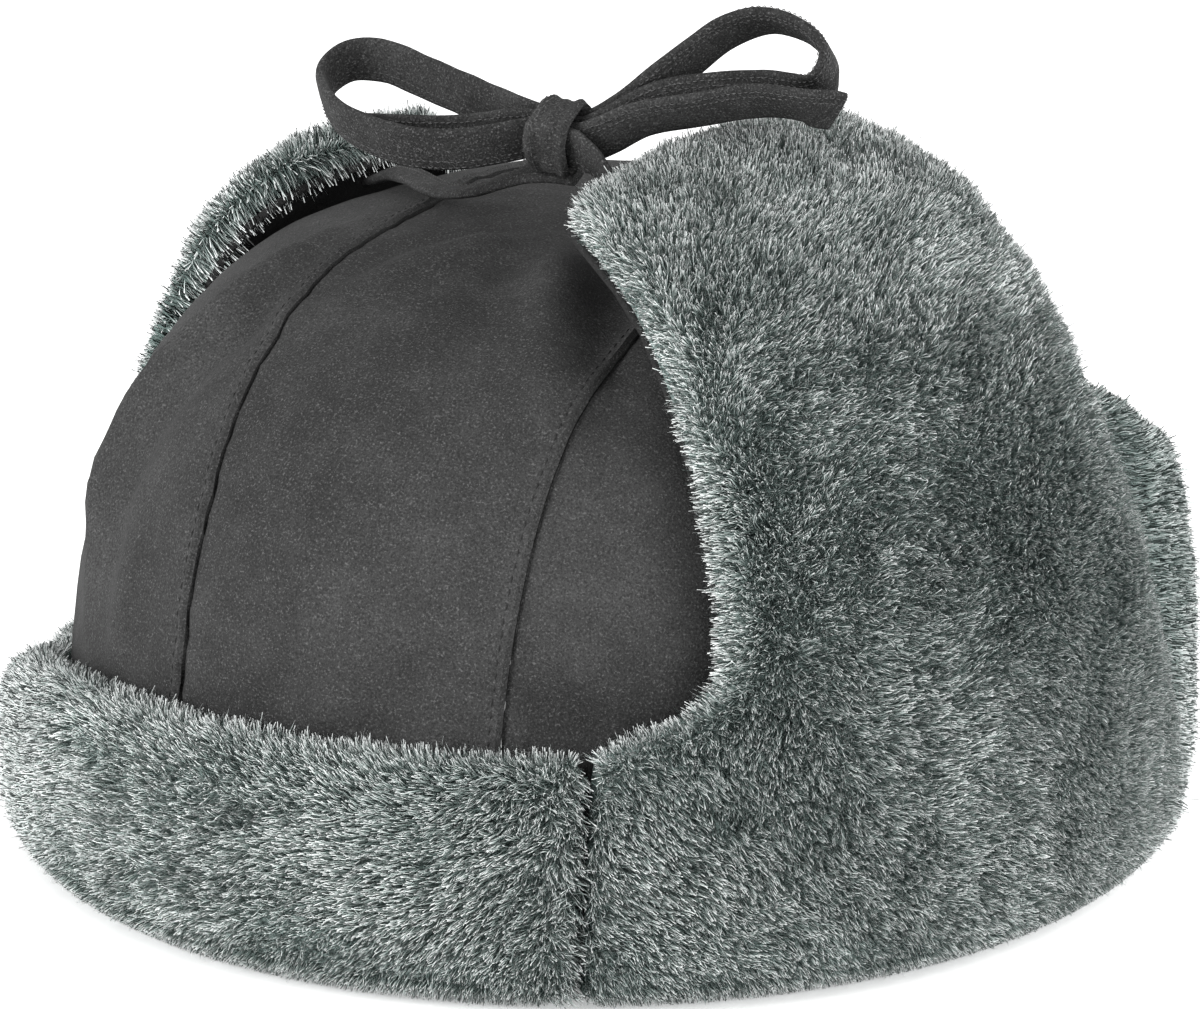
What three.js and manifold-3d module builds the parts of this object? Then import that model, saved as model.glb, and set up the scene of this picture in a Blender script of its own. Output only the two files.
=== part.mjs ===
// Aviator hat with fur flaps, folded up round the crown and tied over it in a bow.
// Millimetres, +Z up. The wearer looks along -Y, and the wearer's left is +X.

import * as THREE from 'three';
import { mergeVertices } from 'three/addons/utils/BufferGeometryUtils.js';
import Module from 'manifold-3d';

const wasm = await Module();
wasm.setup();

// Crown: a rounded dome of three cloth panels
const CROWN_WIDTH = 185;
const CROWN_LENGTH = 220;
const CROWN_HEIGHT = 113;
const CROWN_FULLNESS = 3.3;
const CROWN_CLOTH = 2;
const CENTRE_PANEL_WIDTH = 62;
const SEAM_LAP_WIDTH = 2.2;
const SEAM_LAP_RISE = 0.4;
const CREASE_RISE = 1.5;
const CREASE_ANGLE = -48;
const CREASE_SPREAD = 4.5;
const CREASE_RISES = { start: 22, full: 34, fading: 62, end: 76 };

// Flaps: a cloth back with a deep pile on it
const FLAP_CLOTH = 1.6;
const PILE_DEPTH = 9.3;
const FOLD_HEIGHT = 11;
const HEM_HEIGHT = 4;
const FRONT_FLAP_HEIGHT = 43;
const FRONT_FLAP_FAR_HEIGHT = 28;
const FRONT_BOW = 2;
const NECK_FLAP_HEIGHT = 88;
const NECK_BOW = -17;
const LEFT_JOINT_ANGLE = 28;
const RIGHT_JOINT_ANGLE = -84;
const LEFT_STAND_OFF = 8.6;
const RIGHT_STAND_OFF = 3.6;
const EAR_STAND_RISES = { start: 34, full: 60 };
const EAR_STRAIGHT_ROW = 9;
const LEFT_FRONT_JOINED_ROWS = 4;
const RIGHT_FRONT_JOINED_ROWS = 2;
const REAR_JOINED_ROWS = 2;
const PILE_RELIEF = 0.9;
const LOCK_SPACING = 27;
const PILE_EDGE_DEPTH = 5;
const EDGE_STEP = 2;

// Ties: flat sewn straps, knotted in a bow between the two flap tips
const STRAP_WIDTH = 8.4;
const STRAP_THICKNESS = 1.6;
const LEFT_LOOP_REACH = 50;
const RIGHT_LOOP_REACH = 46;
const LEFT_TAIL_REACH = 37.5;
const RIGHT_TAIL_REACH = 48;
const LEAD_REACH = 26;
const KNOT_LENGTH = 9;
const KNOT_WALL = 1.6;
const KNOT_ROUNDING = 3;
const KNOT_LEAN = 25;
const KNOT_FORWARD = 26;
const KNOT_LIFT = 17.5;

const GAP = 0.3;
const JOINT_GAP = 0.7;

const CROWN_COLUMNS = 48;
const CROWN_ROWS = 10;
const LOOP_STEPS = 26;
const TAIL_STEPS = 14;
const FRONT_COLUMNS = 18;
const LEFT_COLUMNS = 15;
const RIGHT_COLUMNS = 13;
const NECK_COLUMNS = 18;

// Underside of a flap's pile, from inside the hem to the outer face.
// reach is a share of the flap's whole depth, and height a share of the fold's height.
const FOLD_SECTIONS = [
  { reach: -0.14, height: 0 },
  { reach: 0.38, height: 0 },
  { reach: 0.69, height: 0.13 },
  { reach: 0.91, height: 0.42 },
  { reach: 1, height: 0.86 },
];

// Height of each row of the front and neck flaps, as a share of the flap's height.
const FRONT_ROWS = [0.42, 0.62, 0.8, 0.93, 1];
const NECK_ROWS = [0.2, 0.33, 0.48, 0.63, 0.77, 0.88, 0.96, 1];

// Outline of the left ear flap from the fold up to its tip, in degrees.
// The angles run round the crown from the front, the rises from the rim to the top.
const LEFT_OUTLINE = [
  { frontAngle: LEFT_JOINT_ANGLE, frontRise: 8, rearAngle: 103, rearRise: 8 },
  { frontAngle: LEFT_JOINT_ANGLE, frontRise: 14, rearAngle: 103, rearRise: 13.6 },
  { frontAngle: LEFT_JOINT_ANGLE, frontRise: 19, rearAngle: 102.6, rearRise: 18.2 },
  { frontAngle: 28.3, frontRise: 21.4, rearAngle: 101.4, rearRise: 21.2 },
  { frontAngle: 31.5, frontRise: 22.2, rearAngle: 100.2, rearRise: 23.4 },
  { frontAngle: 36, frontRise: 23.4, rearAngle: 99, rearRise: 26 },
  { frontAngle: 39.4, frontRise: 25.2, rearAngle: 98, rearRise: 29 },
  { frontAngle: 40.5, frontRise: 28, rearAngle: 97, rearRise: 32.6 },
  { frontAngle: 40.3, frontRise: 32.5, rearAngle: 95.7, rearRise: 37.1 },
  { frontAngle: 39.2, frontRise: 37.5, rearAngle: 94.9, rearRise: 41.5 },
  { frontAngle: 37.4, frontRise: 42.5, rearAngle: 94.3, rearRise: 46.3 },
  { frontAngle: 35, frontRise: 47.4, rearAngle: 95.5, rearRise: 51.6 },
  { frontAngle: 31.8, frontRise: 52.2, rearAngle: 98.8, rearRise: 56.2 },
  { frontAngle: 27.8, frontRise: 56, rearAngle: 104.7, rearRise: 60.8 },
  { frontAngle: 23.6, frontRise: 59.2, rearAngle: 112.8, rearRise: 66.7 },
  { frontAngle: 20.6, frontRise: 61.4, rearAngle: 114.4, rearRise: 72.7 },
  { frontAngle: 19, frontRise: 62.8, rearAngle: 110.5, rearRise: 78.2 },
];

// Outline of the right ear flap, which sits further back than the left one.
const RIGHT_OUTLINE = [
  { frontAngle: RIGHT_JOINT_ANGLE, frontRise: 8, rearAngle: -143, rearRise: 8 },
  { frontAngle: RIGHT_JOINT_ANGLE, frontRise: 13, rearAngle: -143, rearRise: 14 },
  { frontAngle: RIGHT_JOINT_ANGLE, frontRise: 17, rearAngle: -143, rearRise: 19 },
  { frontAngle: RIGHT_JOINT_ANGLE, frontRise: 20.4, rearAngle: -142.6, rearRise: 23 },
  { frontAngle: -85, frontRise: 24, rearAngle: -142, rearRise: 26 },
  { frontAngle: -86, frontRise: 27.4, rearAngle: -141, rearRise: 29 },
  { frontAngle: -86.4, frontRise: 31, rearAngle: -139.8, rearRise: 32.4 },
  { frontAngle: -86.2, frontRise: 34.8, rearAngle: -138, rearRise: 36 },
  { frontAngle: -85.6, frontRise: 38.6, rearAngle: -135.6, rearRise: 40 },
  { frontAngle: -84.6, frontRise: 42.4, rearAngle: -132.8, rearRise: 43.8 },
  { frontAngle: -83.4, frontRise: 46, rearAngle: -130, rearRise: 47.2 },
  { frontAngle: -82.6, frontRise: 49.2, rearAngle: -127, rearRise: 50.2 },
  { frontAngle: -83.2, frontRise: 52, rearAngle: -123.8, rearRise: 52.4 },
  { frontAngle: -85.4, frontRise: 54.2, rearAngle: -120, rearRise: 54.2 },
  { frontAngle: -89, frontRise: 55.6, rearAngle: -116, rearRise: 55.4 },
];

// Paths of the straps, in shares of each strap's reach and measured from the knot.
// lean turns the strap's width from upright towards the front, in degrees.
const LEFT_LOOP = [
  { out: -0.015, back: 0.034, up: 0.016, lean: 25 },
  { out: -0.09, back: 0.034, up: 0.016, lean: 25 },
  { out: -0.2, back: 0.07, up: 0.024, lean: 28 },
  { out: -0.39, back: 0.13, up: 0.036, lean: 32 },
  { out: -0.63, back: 0.2, up: 0.066, lean: 32 },
  { out: -0.85, back: 0.24, up: 0.096, lean: 30 },
  { out: -0.96, back: 0.2, up: 0.09, lean: 31 },
  { out: -1, back: 0.11, up: 0.05, lean: 32 },
  { out: -0.94, back: 0, up: 0, lean: 30 },
  { out: -0.81, back: -0.1, up: -0.047, lean: 24 },
  { out: -0.66, back: -0.155, up: -0.072, lean: 20 },
  { out: -0.5, back: -0.18, up: -0.084, lean: 20 },
  { out: -0.33, back: -0.16, up: -0.075, lean: 22 },
  { out: -0.18, back: -0.09, up: -0.042, lean: 25 },
  { out: -0.085, back: -0.04, up: -0.019, lean: 25 },
  { out: -0.015, back: -0.034, up: -0.016, lean: 25 },
];
const RIGHT_LOOP = [
  { out: 0.016, back: 0.037, up: 0.017, lean: 25 },
  { out: 0.11, back: 0.039, up: 0.02, lean: 25 },
  { out: 0.22, back: 0.075, up: 0.09, lean: 24 },
  { out: 0.35, back: 0.14, up: 0.22, lean: 28 },
  { out: 0.45, back: 0.21, up: 0.325, lean: 34 },
  { out: 0.55, back: 0.265, up: 0.415, lean: 42 },
  { out: 0.7, back: 0.29, up: 0.475, lean: 50 },
  { out: 0.89, back: 0.26, up: 0.455, lean: 52 },
  { out: 1, back: 0.21, up: 0.385, lean: 52 },
  { out: 0.995, back: 0.185, up: 0.305, lean: 50 },
  { out: 0.93, back: 0.19, up: 0.25, lean: 48 },
  { out: 0.763, back: 0.2, up: 0.222, lean: 44 },
  { out: 0.583, back: 0.157, up: 0.196, lean: 40 },
  { out: 0.374, back: 0.085, up: 0.15, lean: 36 },
  { out: 0.2, back: 0.02, up: 0.045, lean: 28 },
  { out: 0.11, back: 0, up: 0.002, lean: 25 },
  { out: 0.016, back: 0, up: 0, lean: 25 },
];
const LEFT_TAIL = [
  { out: -0.02, back: 0, up: 0, lean: 25 },
  { out: -0.16, back: 0, up: 0, lean: 25 },
  { out: -0.53, back: 0, up: -0.085, lean: 20 },
  { out: -0.77, back: -0.015, up: -0.115, lean: 18 },
  { out: -1, back: -0.04, up: -0.13, lean: 18 },
];
const RIGHT_TAIL = [
  { out: 0.015, back: -0.036, up: -0.0165, lean: 25 },
  { out: 0.105, back: -0.036, up: -0.0165, lean: 25 },
  { out: 0.19, back: -0.03, up: 0.02, lean: 28 },
  { out: 0.315, back: 0, up: 0.09, lean: 36 },
  { out: 0.51, back: 0.09, up: 0.138, lean: 42 },
  { out: 0.775, back: 0.05, up: 0.212, lean: 40 },
  { out: 0.95, back: 0.05, up: 0.215, lean: 40 },
  { out: 1.03, back: 0.14, up: 0.19, lean: 40 },
];
const LEFT_LEAD = [
  { out: 0.02, back: -0.132, up: -0.062, lean: 25 },
  { out: 0.19, back: -0.134, up: -0.066, lean: 25 },
  { out: 0.29, back: -0.15, up: -0.11, lean: 30 },
  { out: 0.42, back: -0.13, up: -0.21, lean: 50 },
  { out: 0.62, back: -0.06, up: -0.39, lean: 85 },
  { out: 0.85, back: -0.04, up: -0.5, lean: 90 },
  { out: 1.1, back: -0.04, up: -0.52, lean: 90 },
];
const RIGHT_LEAD = [
  { out: 0.1, back: 0.09, up: -0.29, lean: 115 },
  { out: -0.2, back: 0.09, up: -0.31, lean: 112 },
  { out: -0.45, back: 0.13, up: -0.41, lean: 100 },
  { out: -0.75, back: 0.22, up: -0.54, lean: 92 },
  { out: -1.05, back: 0.36, up: -0.615, lean: 90 },
  { out: -1.54, back: 0.81, up: -0.665, lean: 90 },
  { out: -1.84, back: 1.11, up: -0.73, lean: 90 },
  { out: -2.23, back: 1.54, up: -0.904, lean: 90 },
];

const HALF_WIDTH = CROWN_WIDTH / 2;
const HALF_LENGTH = CROWN_LENGTH / 2;
const HALF_PANEL = CENTRE_PANEL_WIDTH / 2;
const FLAP_CLEARANCE = SEAM_LAP_RISE + 2 * GAP;
const PILE_START = FLAP_CLEARANCE + FLAP_CLOTH + GAP;
const FLAP_DEPTH = PILE_START + PILE_DEPTH;

const shellCloth = new THREE.MeshStandardMaterial({ color: 0x4b4b4c, roughness: 0.85, metalness: 0 });
const flapCloth = new THREE.MeshStandardMaterial({ color: 0x3c3c3d, roughness: 0.9, metalness: 0 });
const pileFur = new THREE.MeshStandardMaterial({ color: 0x788280, roughness: 0.95, metalness: 0 });
const strapCloth = new THREE.MeshStandardMaterial({ color: 0x474748, roughness: 0.85, metalness: 0 });

const radians = THREE.MathUtils.degToRad;

// A point on the crown's outer surface at an angle round it and a rise up it, in degrees.
function crownPoint(angle, rise) {
  const across = Math.max(0, Math.cos(radians(rise)));
  const up = Math.sin(radians(rise));
  const reach = (across ** CROWN_FULLNESS + up ** CROWN_FULLNESS) ** (-1 / CROWN_FULLNESS);
  return new THREE.Vector3(
    HALF_WIDTH * reach * across * Math.sin(radians(angle)),
    -HALF_LENGTH * reach * across * Math.cos(radians(angle)),
    CROWN_HEIGHT * reach * up,
  );
}

// The crown's outward direction at a point on it.
function crownNormal(point) {
  const x = point.x / HALF_WIDTH;
  const y = point.y / HALF_LENGTH;
  const side = Math.hypot(x, y) ** (CROWN_FULLNESS - 2);
  const up = (point.z / CROWN_HEIGHT) ** (CROWN_FULLNESS - 1);
  return new THREE.Vector3(
    (side * x) / HALF_WIDTH,
    (side * y) / HALF_LENGTH,
    up / CROWN_HEIGHT,
  ).normalize();
}

// A point at a distance outside the crown.
function outsideCrown(angle, rise, distance) {
  const point = crownPoint(angle, rise);
  return point.addScaledVector(crownNormal(point), distance);
}

// A point at a height above the rim, level with it and outside the crown's rim.
function besideRim(angle, height, distance) {
  const point = crownPoint(angle, 0);
  point.addScaledVector(crownNormal(point), distance);
  point.z = height;
  return point;
}

// The rise at which the crown reaches a height.
function riseAt(height) {
  const share = (height / CROWN_HEIGHT) ** CROWN_FULLNESS;
  return THREE.MathUtils.radToDeg(Math.atan((share / (1 - share)) ** (1 / CROWN_FULLNESS)));
}

function smooth(value, from, to) {
  return THREE.MathUtils.smoothstep(value, from, to);
}

// A geometry with its corners merged and its flat triangles dropped, facing outwards.
function closedGeometry(positions, triangles) {
  const loose = new THREE.BufferGeometry();
  loose.setAttribute('position', new THREE.Float32BufferAttribute(positions, 3));
  loose.setIndex(triangles);
  const merged = mergeVertices(loose, 1e-4);
  const index = merged.index.array;
  const kept = [];
  for (let i = 0; i < index.length; i += 3) {
    const [a, b, c] = index.slice(i, i + 3);
    if (a !== b && b !== c && c !== a) {
      kept.push(a, b, c);
    }
  }
  merged.setIndex(kept);
  if (enclosedVolume(merged) < 0) {
    merged.setIndex(kept.reverse());
  }
  return merged;
}

function enclosedVolume(geometry) {
  const place = geometry.attributes.position;
  const index = geometry.index.array;
  const corners = [new THREE.Vector3(), new THREE.Vector3(), new THREE.Vector3()];
  let total = 0;
  for (let i = 0; i < index.length; i += 3) {
    corners.forEach((corner, k) => corner.fromBufferAttribute(place, index[i + k]));
    total += corners[0].dot(corners[1].cross(corners[2])) / 6;
  }
  return total;
}

// A closed body between an outer and an inner grid of points with equal rows and columns.
// A ring has its last column on its first one and its top row in one point.
function bodyBetween(outer, inner, isRing = false) {
  const rows = outer.length;
  const columns = outer[0].length;
  const positions = [];
  const triangles = [];
  for (const point of [...outer.flat(), ...inner.flat()]) {
    positions.push(point.x, point.y, point.z);
  }
  const at = (side, row, column) => (side * rows + row) * columns + column;
  const quad = (a, b, c, d) => triangles.push(a, b, c, a, c, d);
  for (let row = 0; row < rows - 1; row += 1) {
    for (let column = 0; column < columns - 1; column += 1) {
      quad(at(0, row, column), at(0, row, column + 1), at(0, row + 1, column + 1), at(0, row + 1, column));
      quad(at(1, row, column), at(1, row + 1, column), at(1, row + 1, column + 1), at(1, row, column + 1));
    }
  }
  const top = rows - 1;
  const last = columns - 1;
  for (let column = 0; column < last; column += 1) {
    quad(at(1, 0, column), at(1, 0, column + 1), at(0, 0, column + 1), at(0, 0, column));
    if (!isRing) {
      quad(at(0, top, column), at(0, top, column + 1), at(1, top, column + 1), at(1, top, column));
    }
  }
  for (let row = 0; row < top && !isRing; row += 1) {
    quad(at(0, row, 0), at(0, row + 1, 0), at(1, row + 1, 0), at(1, row, 0));
    quad(at(1, row, last), at(1, row + 1, last), at(0, row + 1, last), at(0, row, last));
  }
  return closedGeometry(positions, triangles);
}

function toSolid(geometry) {
  const mesh = new wasm.Mesh({
    numProp: 3,
    vertProperties: Float32Array.from(geometry.attributes.position.array),
    triVerts: Uint32Array.from(geometry.index.array),
  });
  return new wasm.Manifold(mesh);
}

function toGeometry(solid) {
  const mesh = solid.getMesh();
  const geometry = new THREE.BufferGeometry();
  geometry.setAttribute('position', new THREE.Float32BufferAttribute(mesh.vertProperties, 3));
  geometry.setIndex(Array.from(mesh.triVerts));
  return geometry;
}

// The soft ridge that runs up the right panel from the front flap to the top.
function creaseHeight(angle, rise) {
  const across = (angle - CREASE_ANGLE) / CREASE_SPREAD;
  const along = smooth(rise, CREASE_RISES.start, CREASE_RISES.full)
    * (1 - smooth(rise, CREASE_RISES.fading, CREASE_RISES.end));
  return CREASE_RISE * Math.exp(-across * across) * along;
}

// The whole crown as one dome of cloth, from one distance outside its surface to another.
function crownShell(outerDistance, innerDistance) {
  const bottomRise = riseAt(HEM_HEIGHT);
  const grid = (distance) => {
    const rows = [];
    for (let row = 0; row <= CROWN_ROWS; row += 1) {
      const rise = bottomRise + ((90 - bottomRise) * row) / CROWN_ROWS;
      const points = [];
      for (let column = 0; column <= CROWN_COLUMNS; column += 1) {
        const angle = (360 * (column % CROWN_COLUMNS)) / CROWN_COLUMNS - 180;
        const topPoint = row === CROWN_ROWS;
        const ridge = topPoint ? 0 : creaseHeight(angle, rise);
        const point = outsideCrown(topPoint ? 0 : angle, topPoint ? 90 : rise, distance + ridge);
        point.z = row === 0 ? HEM_HEIGHT : point.z;
        points.push(point);
      }
      rows.push(points);
    }
    return rows;
  };
  return toSolid(bodyBetween(grid(outerDistance), grid(innerDistance), true));
}

function slab(fromX, toX) {
  const box = new THREE.BoxGeometry(toX - fromX, 2 * CROWN_LENGTH, 4 * CROWN_HEIGHT);
  box.translate((fromX + toX) / 2, 0, 0);
  box.deleteAttribute('normal');
  box.deleteAttribute('uv');
  return toSolid(mergeVertices(box));
}

// One crown panel, with the lap of its seam raised along one edge where it has one.
function crownPanel(fromX, toX, lapFrom, lapTo) {
  const cloth = crownShell(0, -CROWN_CLOTH).intersect(slab(fromX, toX));
  if (lapFrom === undefined) {
    return toGeometry(cloth);
  }
  const lap = crownShell(SEAM_LAP_RISE, -CROWN_CLOTH / 2).intersect(slab(lapFrom, lapTo));
  return toGeometry(cloth.add(lap));
}

// Relief of the pile's soft locks at a point of the crown, above and below its mean depth.
function lockRelief(point) {
  const turn = (2 * Math.PI) / LOCK_SPACING;
  const waves = Math.sin(turn * (point.y + point.z / 2)) + Math.sin(turn * (point.x - point.z));
  return (PILE_RELIEF / 2) * waves;
}

// Depth of the pile near a flap's edge, as a share: full inside, rounded off at the rim.
function pileShare(distance) {
  const inside = Math.min(1, distance / PILE_DEPTH);
  const rim = PILE_EDGE_DEPTH / PILE_DEPTH;
  return rim + (1 - rim) * Math.sqrt(1 - (1 - inside) ** 2);
}

function chordOf(section) {
  const front = crownPoint(section.frontAngle, section.frontRise);
  return front.distanceTo(crownPoint(section.rearAngle, section.rearRise));
}

// Angle and rise of a point of a flap's row, straight in plan by the share straightness.
// bow lifts the middle of a row above its ends, in degrees.
function alongRow(section, share, straightness) {
  const angle = THREE.MathUtils.lerp(section.frontAngle, section.rearAngle, share);
  const bow = (section.bow ?? 0) * Math.sin(Math.PI * share);
  const rise = THREE.MathUtils.lerp(section.frontRise, section.rearRise, share) + bow;
  const front = crownPoint(section.frontAngle, section.frontRise);
  const rear = crownPoint(section.rearAngle, section.rearRise);
  const straight = front.lerp(rear, share);
  const x = straight.x / HALF_WIDTH;
  const y = straight.y / HALF_LENGTH;
  const across = Math.hypot(x, y);
  const tangent = (across ** -CROWN_FULLNESS - 1) ** (1 / CROWN_FULLNESS);
  const straightAngle = THREE.MathUtils.radToDeg(Math.atan2(x, -y));
  const straightRise = THREE.MathUtils.radToDeg(Math.atan(tangent));
  const wrapped = straightAngle < -170 || (section.rearAngle > 180 && straightAngle < 0);
  return {
    angle: THREE.MathUtils.lerp(angle, wrapped ? straightAngle + 360 : straightAngle, straightness),
    rise: THREE.MathUtils.lerp(rise, straightRise, straightness),
  };
}

// Shares of a row's width at which its columns stand: two close to each edge, the rest even.
function columnShares(columns, width) {
  const close = [0, EDGE_STEP / width, (3 * EDGE_STEP) / width];
  const steps = columns - 2 * close.length + 1;
  const even = Array.from({ length: steps - 1 }, (_, step) => (
    THREE.MathUtils.lerp(close[2], 1 - close[2], (step + 1) / steps)
  ));
  return [...close, ...even, ...close.map((share) => 1 - share).reverse()];
}

// The grids of a flap: a row for each section, and columns closer together near the edges.
// layer gives the distance outside the crown from a stand off, an edge distance and a point.
function flapGrid(flap, columns, layer) {
  return flap.sections.map((section, row) => {
    const straightness = flap.straightFrom ? smooth(row, flap.straightFrom, flap.sections.length - 1) : 0;
    const width = chordOf(section);
    const toTop = flap.topDistance(row);
    return columnShares(columns, width).map((share) => {
      const place = alongRow(section, share, straightness);
      const toFront = row < flap.joinedFront ? Infinity : share * width;
      const toRear = row < flap.joinedRear ? Infinity : (1 - share) * width;
      const toEdge = Math.min(toFront, toRear, toTop);
      const distance = layer(flap.standOff(place.rise), toEdge, crownPoint(place.angle, place.rise));
      return outsideCrown(place.angle, place.rise, distance);
    });
  });
}

// The cloth back of a flap, from the hem up to the tip.
function flapBack(flap, columns) {
  const hemRise = riseAt(HEM_HEIGHT);
  const bottom = { ...flap.sections[0], frontRise: hemRise, rearRise: hemRise, bow: 0 };
  const whole = {
    ...flap,
    sections: [bottom, ...flap.sections],
    straightFrom: flap.straightFrom && flap.straightFrom + 1,
    topDistance: () => 0,
  };
  const grid = (distance) => {
    const rows = flapGrid(whole, columns, (standOff) => distance + standOff);
    for (const point of rows[0]) {
      point.z = HEM_HEIGHT;
    }
    return rows;
  };
  return bodyBetween(grid(FLAP_CLEARANCE + FLAP_CLOTH), grid(FLAP_CLEARANCE));
}

// The pile of a flap, which rolls under the hem and rises outside the cloth.
function flapPile(flap, columns) {
  const outer = flapGrid(flap, columns, (standOff, toEdge, point) => {
    const relief = toEdge > EDGE_STEP ? lockRelief(point) : 0;
    return PILE_START + standOff + PILE_DEPTH * pileShare(toEdge) + relief;
  });
  const inner = flapGrid(flap, columns, (standOff) => PILE_START + standOff);
  const first = flap.sections[0];
  const width = chordOf(first);
  const ledge = HEM_HEIGHT - GAP;
  const under = FOLD_SECTIONS.map((section, row) => {
    const angles = columnShares(columns, width).map((share) => (
      THREE.MathUtils.lerp(first.frontAngle, first.rearAngle, share)
    ));
    const height = section.height * FOLD_HEIGHT;
    const innerReach = row === 0 ? section.reach * FLAP_DEPTH : PILE_START;
    return {
      outerRow: angles.map((angle) => besideRim(angle, height, section.reach * FLAP_DEPTH)),
      innerRow: angles.map((angle) => besideRim(angle, Math.max(ledge, height), innerReach)),
    };
  });
  return bodyBetween(
    [...under.map((row) => row.outerRow), ...outer],
    [...under.map((row) => row.innerRow), ...inner],
  );
}

// Distance from each row of a flap to its tip, measured along the middle of the flap.
function tipDistances(sections) {
  const middle = sections.map((section) => {
    const place = alongRow(section, 0.5, 0);
    return crownPoint(place.angle, place.rise);
  });
  return sections.map((_, row) => middle[row].distanceTo(middle[sections.length - 1]));
}

// A flap from its outline. standOff is how far it stands off the crown at a rise, and
// straightFrom the row where it turns straight in plan. Its lowest rows are joined to the flaps
// in front of it and behind it, as many as joinedFront and joinedRear say.
function makeFlap(outline, { standOff = () => 0, straightFrom = 0, joinedFront, joinedRear }) {
  const gapAngle = THREE.MathUtils.radToDeg(JOINT_GAP / HALF_WIDTH);
  const turn = Math.sign(outline[0].rearAngle - outline[0].frontAngle);
  const sections = outline.map((row) => ({
    ...row,
    frontAngle: row.frontAngle + turn * gapAngle,
    rearAngle: row.rearAngle - turn * gapAngle,
  }));
  const distances = tipDistances(sections);
  return {
    sections,
    standOff,
    straightFrom,
    joinedFront,
    joinedRear,
    topDistance: (row) => distances[row],
  };
}

const frontFlap = makeFlap(
  FRONT_ROWS.map((share) => ({
    frontAngle: RIGHT_JOINT_ANGLE,
    frontRise: riseAt(share * FRONT_FLAP_FAR_HEIGHT),
    rearAngle: LEFT_JOINT_ANGLE,
    rearRise: riseAt(share * FRONT_FLAP_HEIGHT),
    bow: share * FRONT_BOW,
  })),
  { joinedFront: FRONT_ROWS.length, joinedRear: FRONT_ROWS.length },
);
const earStand = (rise) => smooth(rise, EAR_STAND_RISES.start, EAR_STAND_RISES.full);
const leftFlap = makeFlap(LEFT_OUTLINE, {
  standOff: (rise) => LEFT_STAND_OFF * earStand(rise),
  straightFrom: EAR_STRAIGHT_ROW,
  joinedFront: LEFT_FRONT_JOINED_ROWS,
  joinedRear: REAR_JOINED_ROWS,
});
const rightFlap = makeFlap(RIGHT_OUTLINE, {
  standOff: (rise) => RIGHT_STAND_OFF * earStand(rise),
  straightFrom: EAR_STRAIGHT_ROW,
  joinedFront: RIGHT_FRONT_JOINED_ROWS,
  joinedRear: REAR_JOINED_ROWS,
});

// The neck flap fills the back between the rear edges of the ear flaps.
const neckFlap = makeFlap(
  NECK_ROWS.map((share) => {
    const rise = riseAt(share * NECK_FLAP_HEIGHT);
    return {
      frontAngle: rearAngleAt(LEFT_OUTLINE, rise),
      frontRise: rise,
      rearAngle: 360 + rearAngleAt(RIGHT_OUTLINE, rise),
      rearRise: rise,
      bow: share * NECK_BOW,
    };
  }),
  {
    joinedFront: REAR_JOINED_ROWS,
    joinedRear: REAR_JOINED_ROWS,
  },
);

// The rear edge of an ear flap at a rise, between the rows of its outline.
function rearAngleAt(outline, rise) {
  const above = Math.max(1, outline.findIndex((row) => row.rearRise >= rise));
  const lower = outline[above - 1];
  const upper = outline[above];
  const share = THREE.MathUtils.clamp(
    (rise - lower.rearRise) / (upper.rearRise - lower.rearRise),
    0,
    1,
  );
  return THREE.MathUtils.lerp(lower.rearAngle, upper.rearAngle, share);
}

const knotCentre = new THREE.Vector3(0, -KNOT_FORWARD, CROWN_HEIGHT + KNOT_LIFT);

// A flat strap along a table of points, as wide and thick as sewn tape.
function strapBody(path, reach, steps) {
  const places = path.map((row) => new THREE.Vector3(row.out, row.back, row.up)
    .multiplyScalar(reach)
    .add(knotCentre));
  const curve = new THREE.CatmullRomCurve3(places, false, 'centripetal');
  const outer = [];
  const inner = [];
  for (let step = 0; step <= steps; step += 1) {
    const share = step / steps;
    const along = curve.getTangent(share);
    const place = curve.getPoint(share);
    const index = Math.min(path.length - 2, Math.floor(share * (path.length - 1)));
    const between = share * (path.length - 1) - index;
    const lean = radians(THREE.MathUtils.lerp(path[index].lean, path[index + 1].lean, between));
    const across = new THREE.Vector3(0, -Math.sin(lean), Math.cos(lean));
    across.addScaledVector(along, -across.dot(along)).normalize();
    const face = new THREE.Vector3().crossVectors(along, across).normalize();
    const corner = (side, depth) => place.clone()
      .addScaledVector(across, (side * STRAP_WIDTH) / 2)
      .addScaledVector(face, (depth * STRAP_THICKNESS) / 2);
    outer.push([corner(-1, 1), corner(1, 1)]);
    inner.push([corner(-1, -1), corner(1, -1)]);
  }
  return bodyBetween(outer, inner);
}

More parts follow.
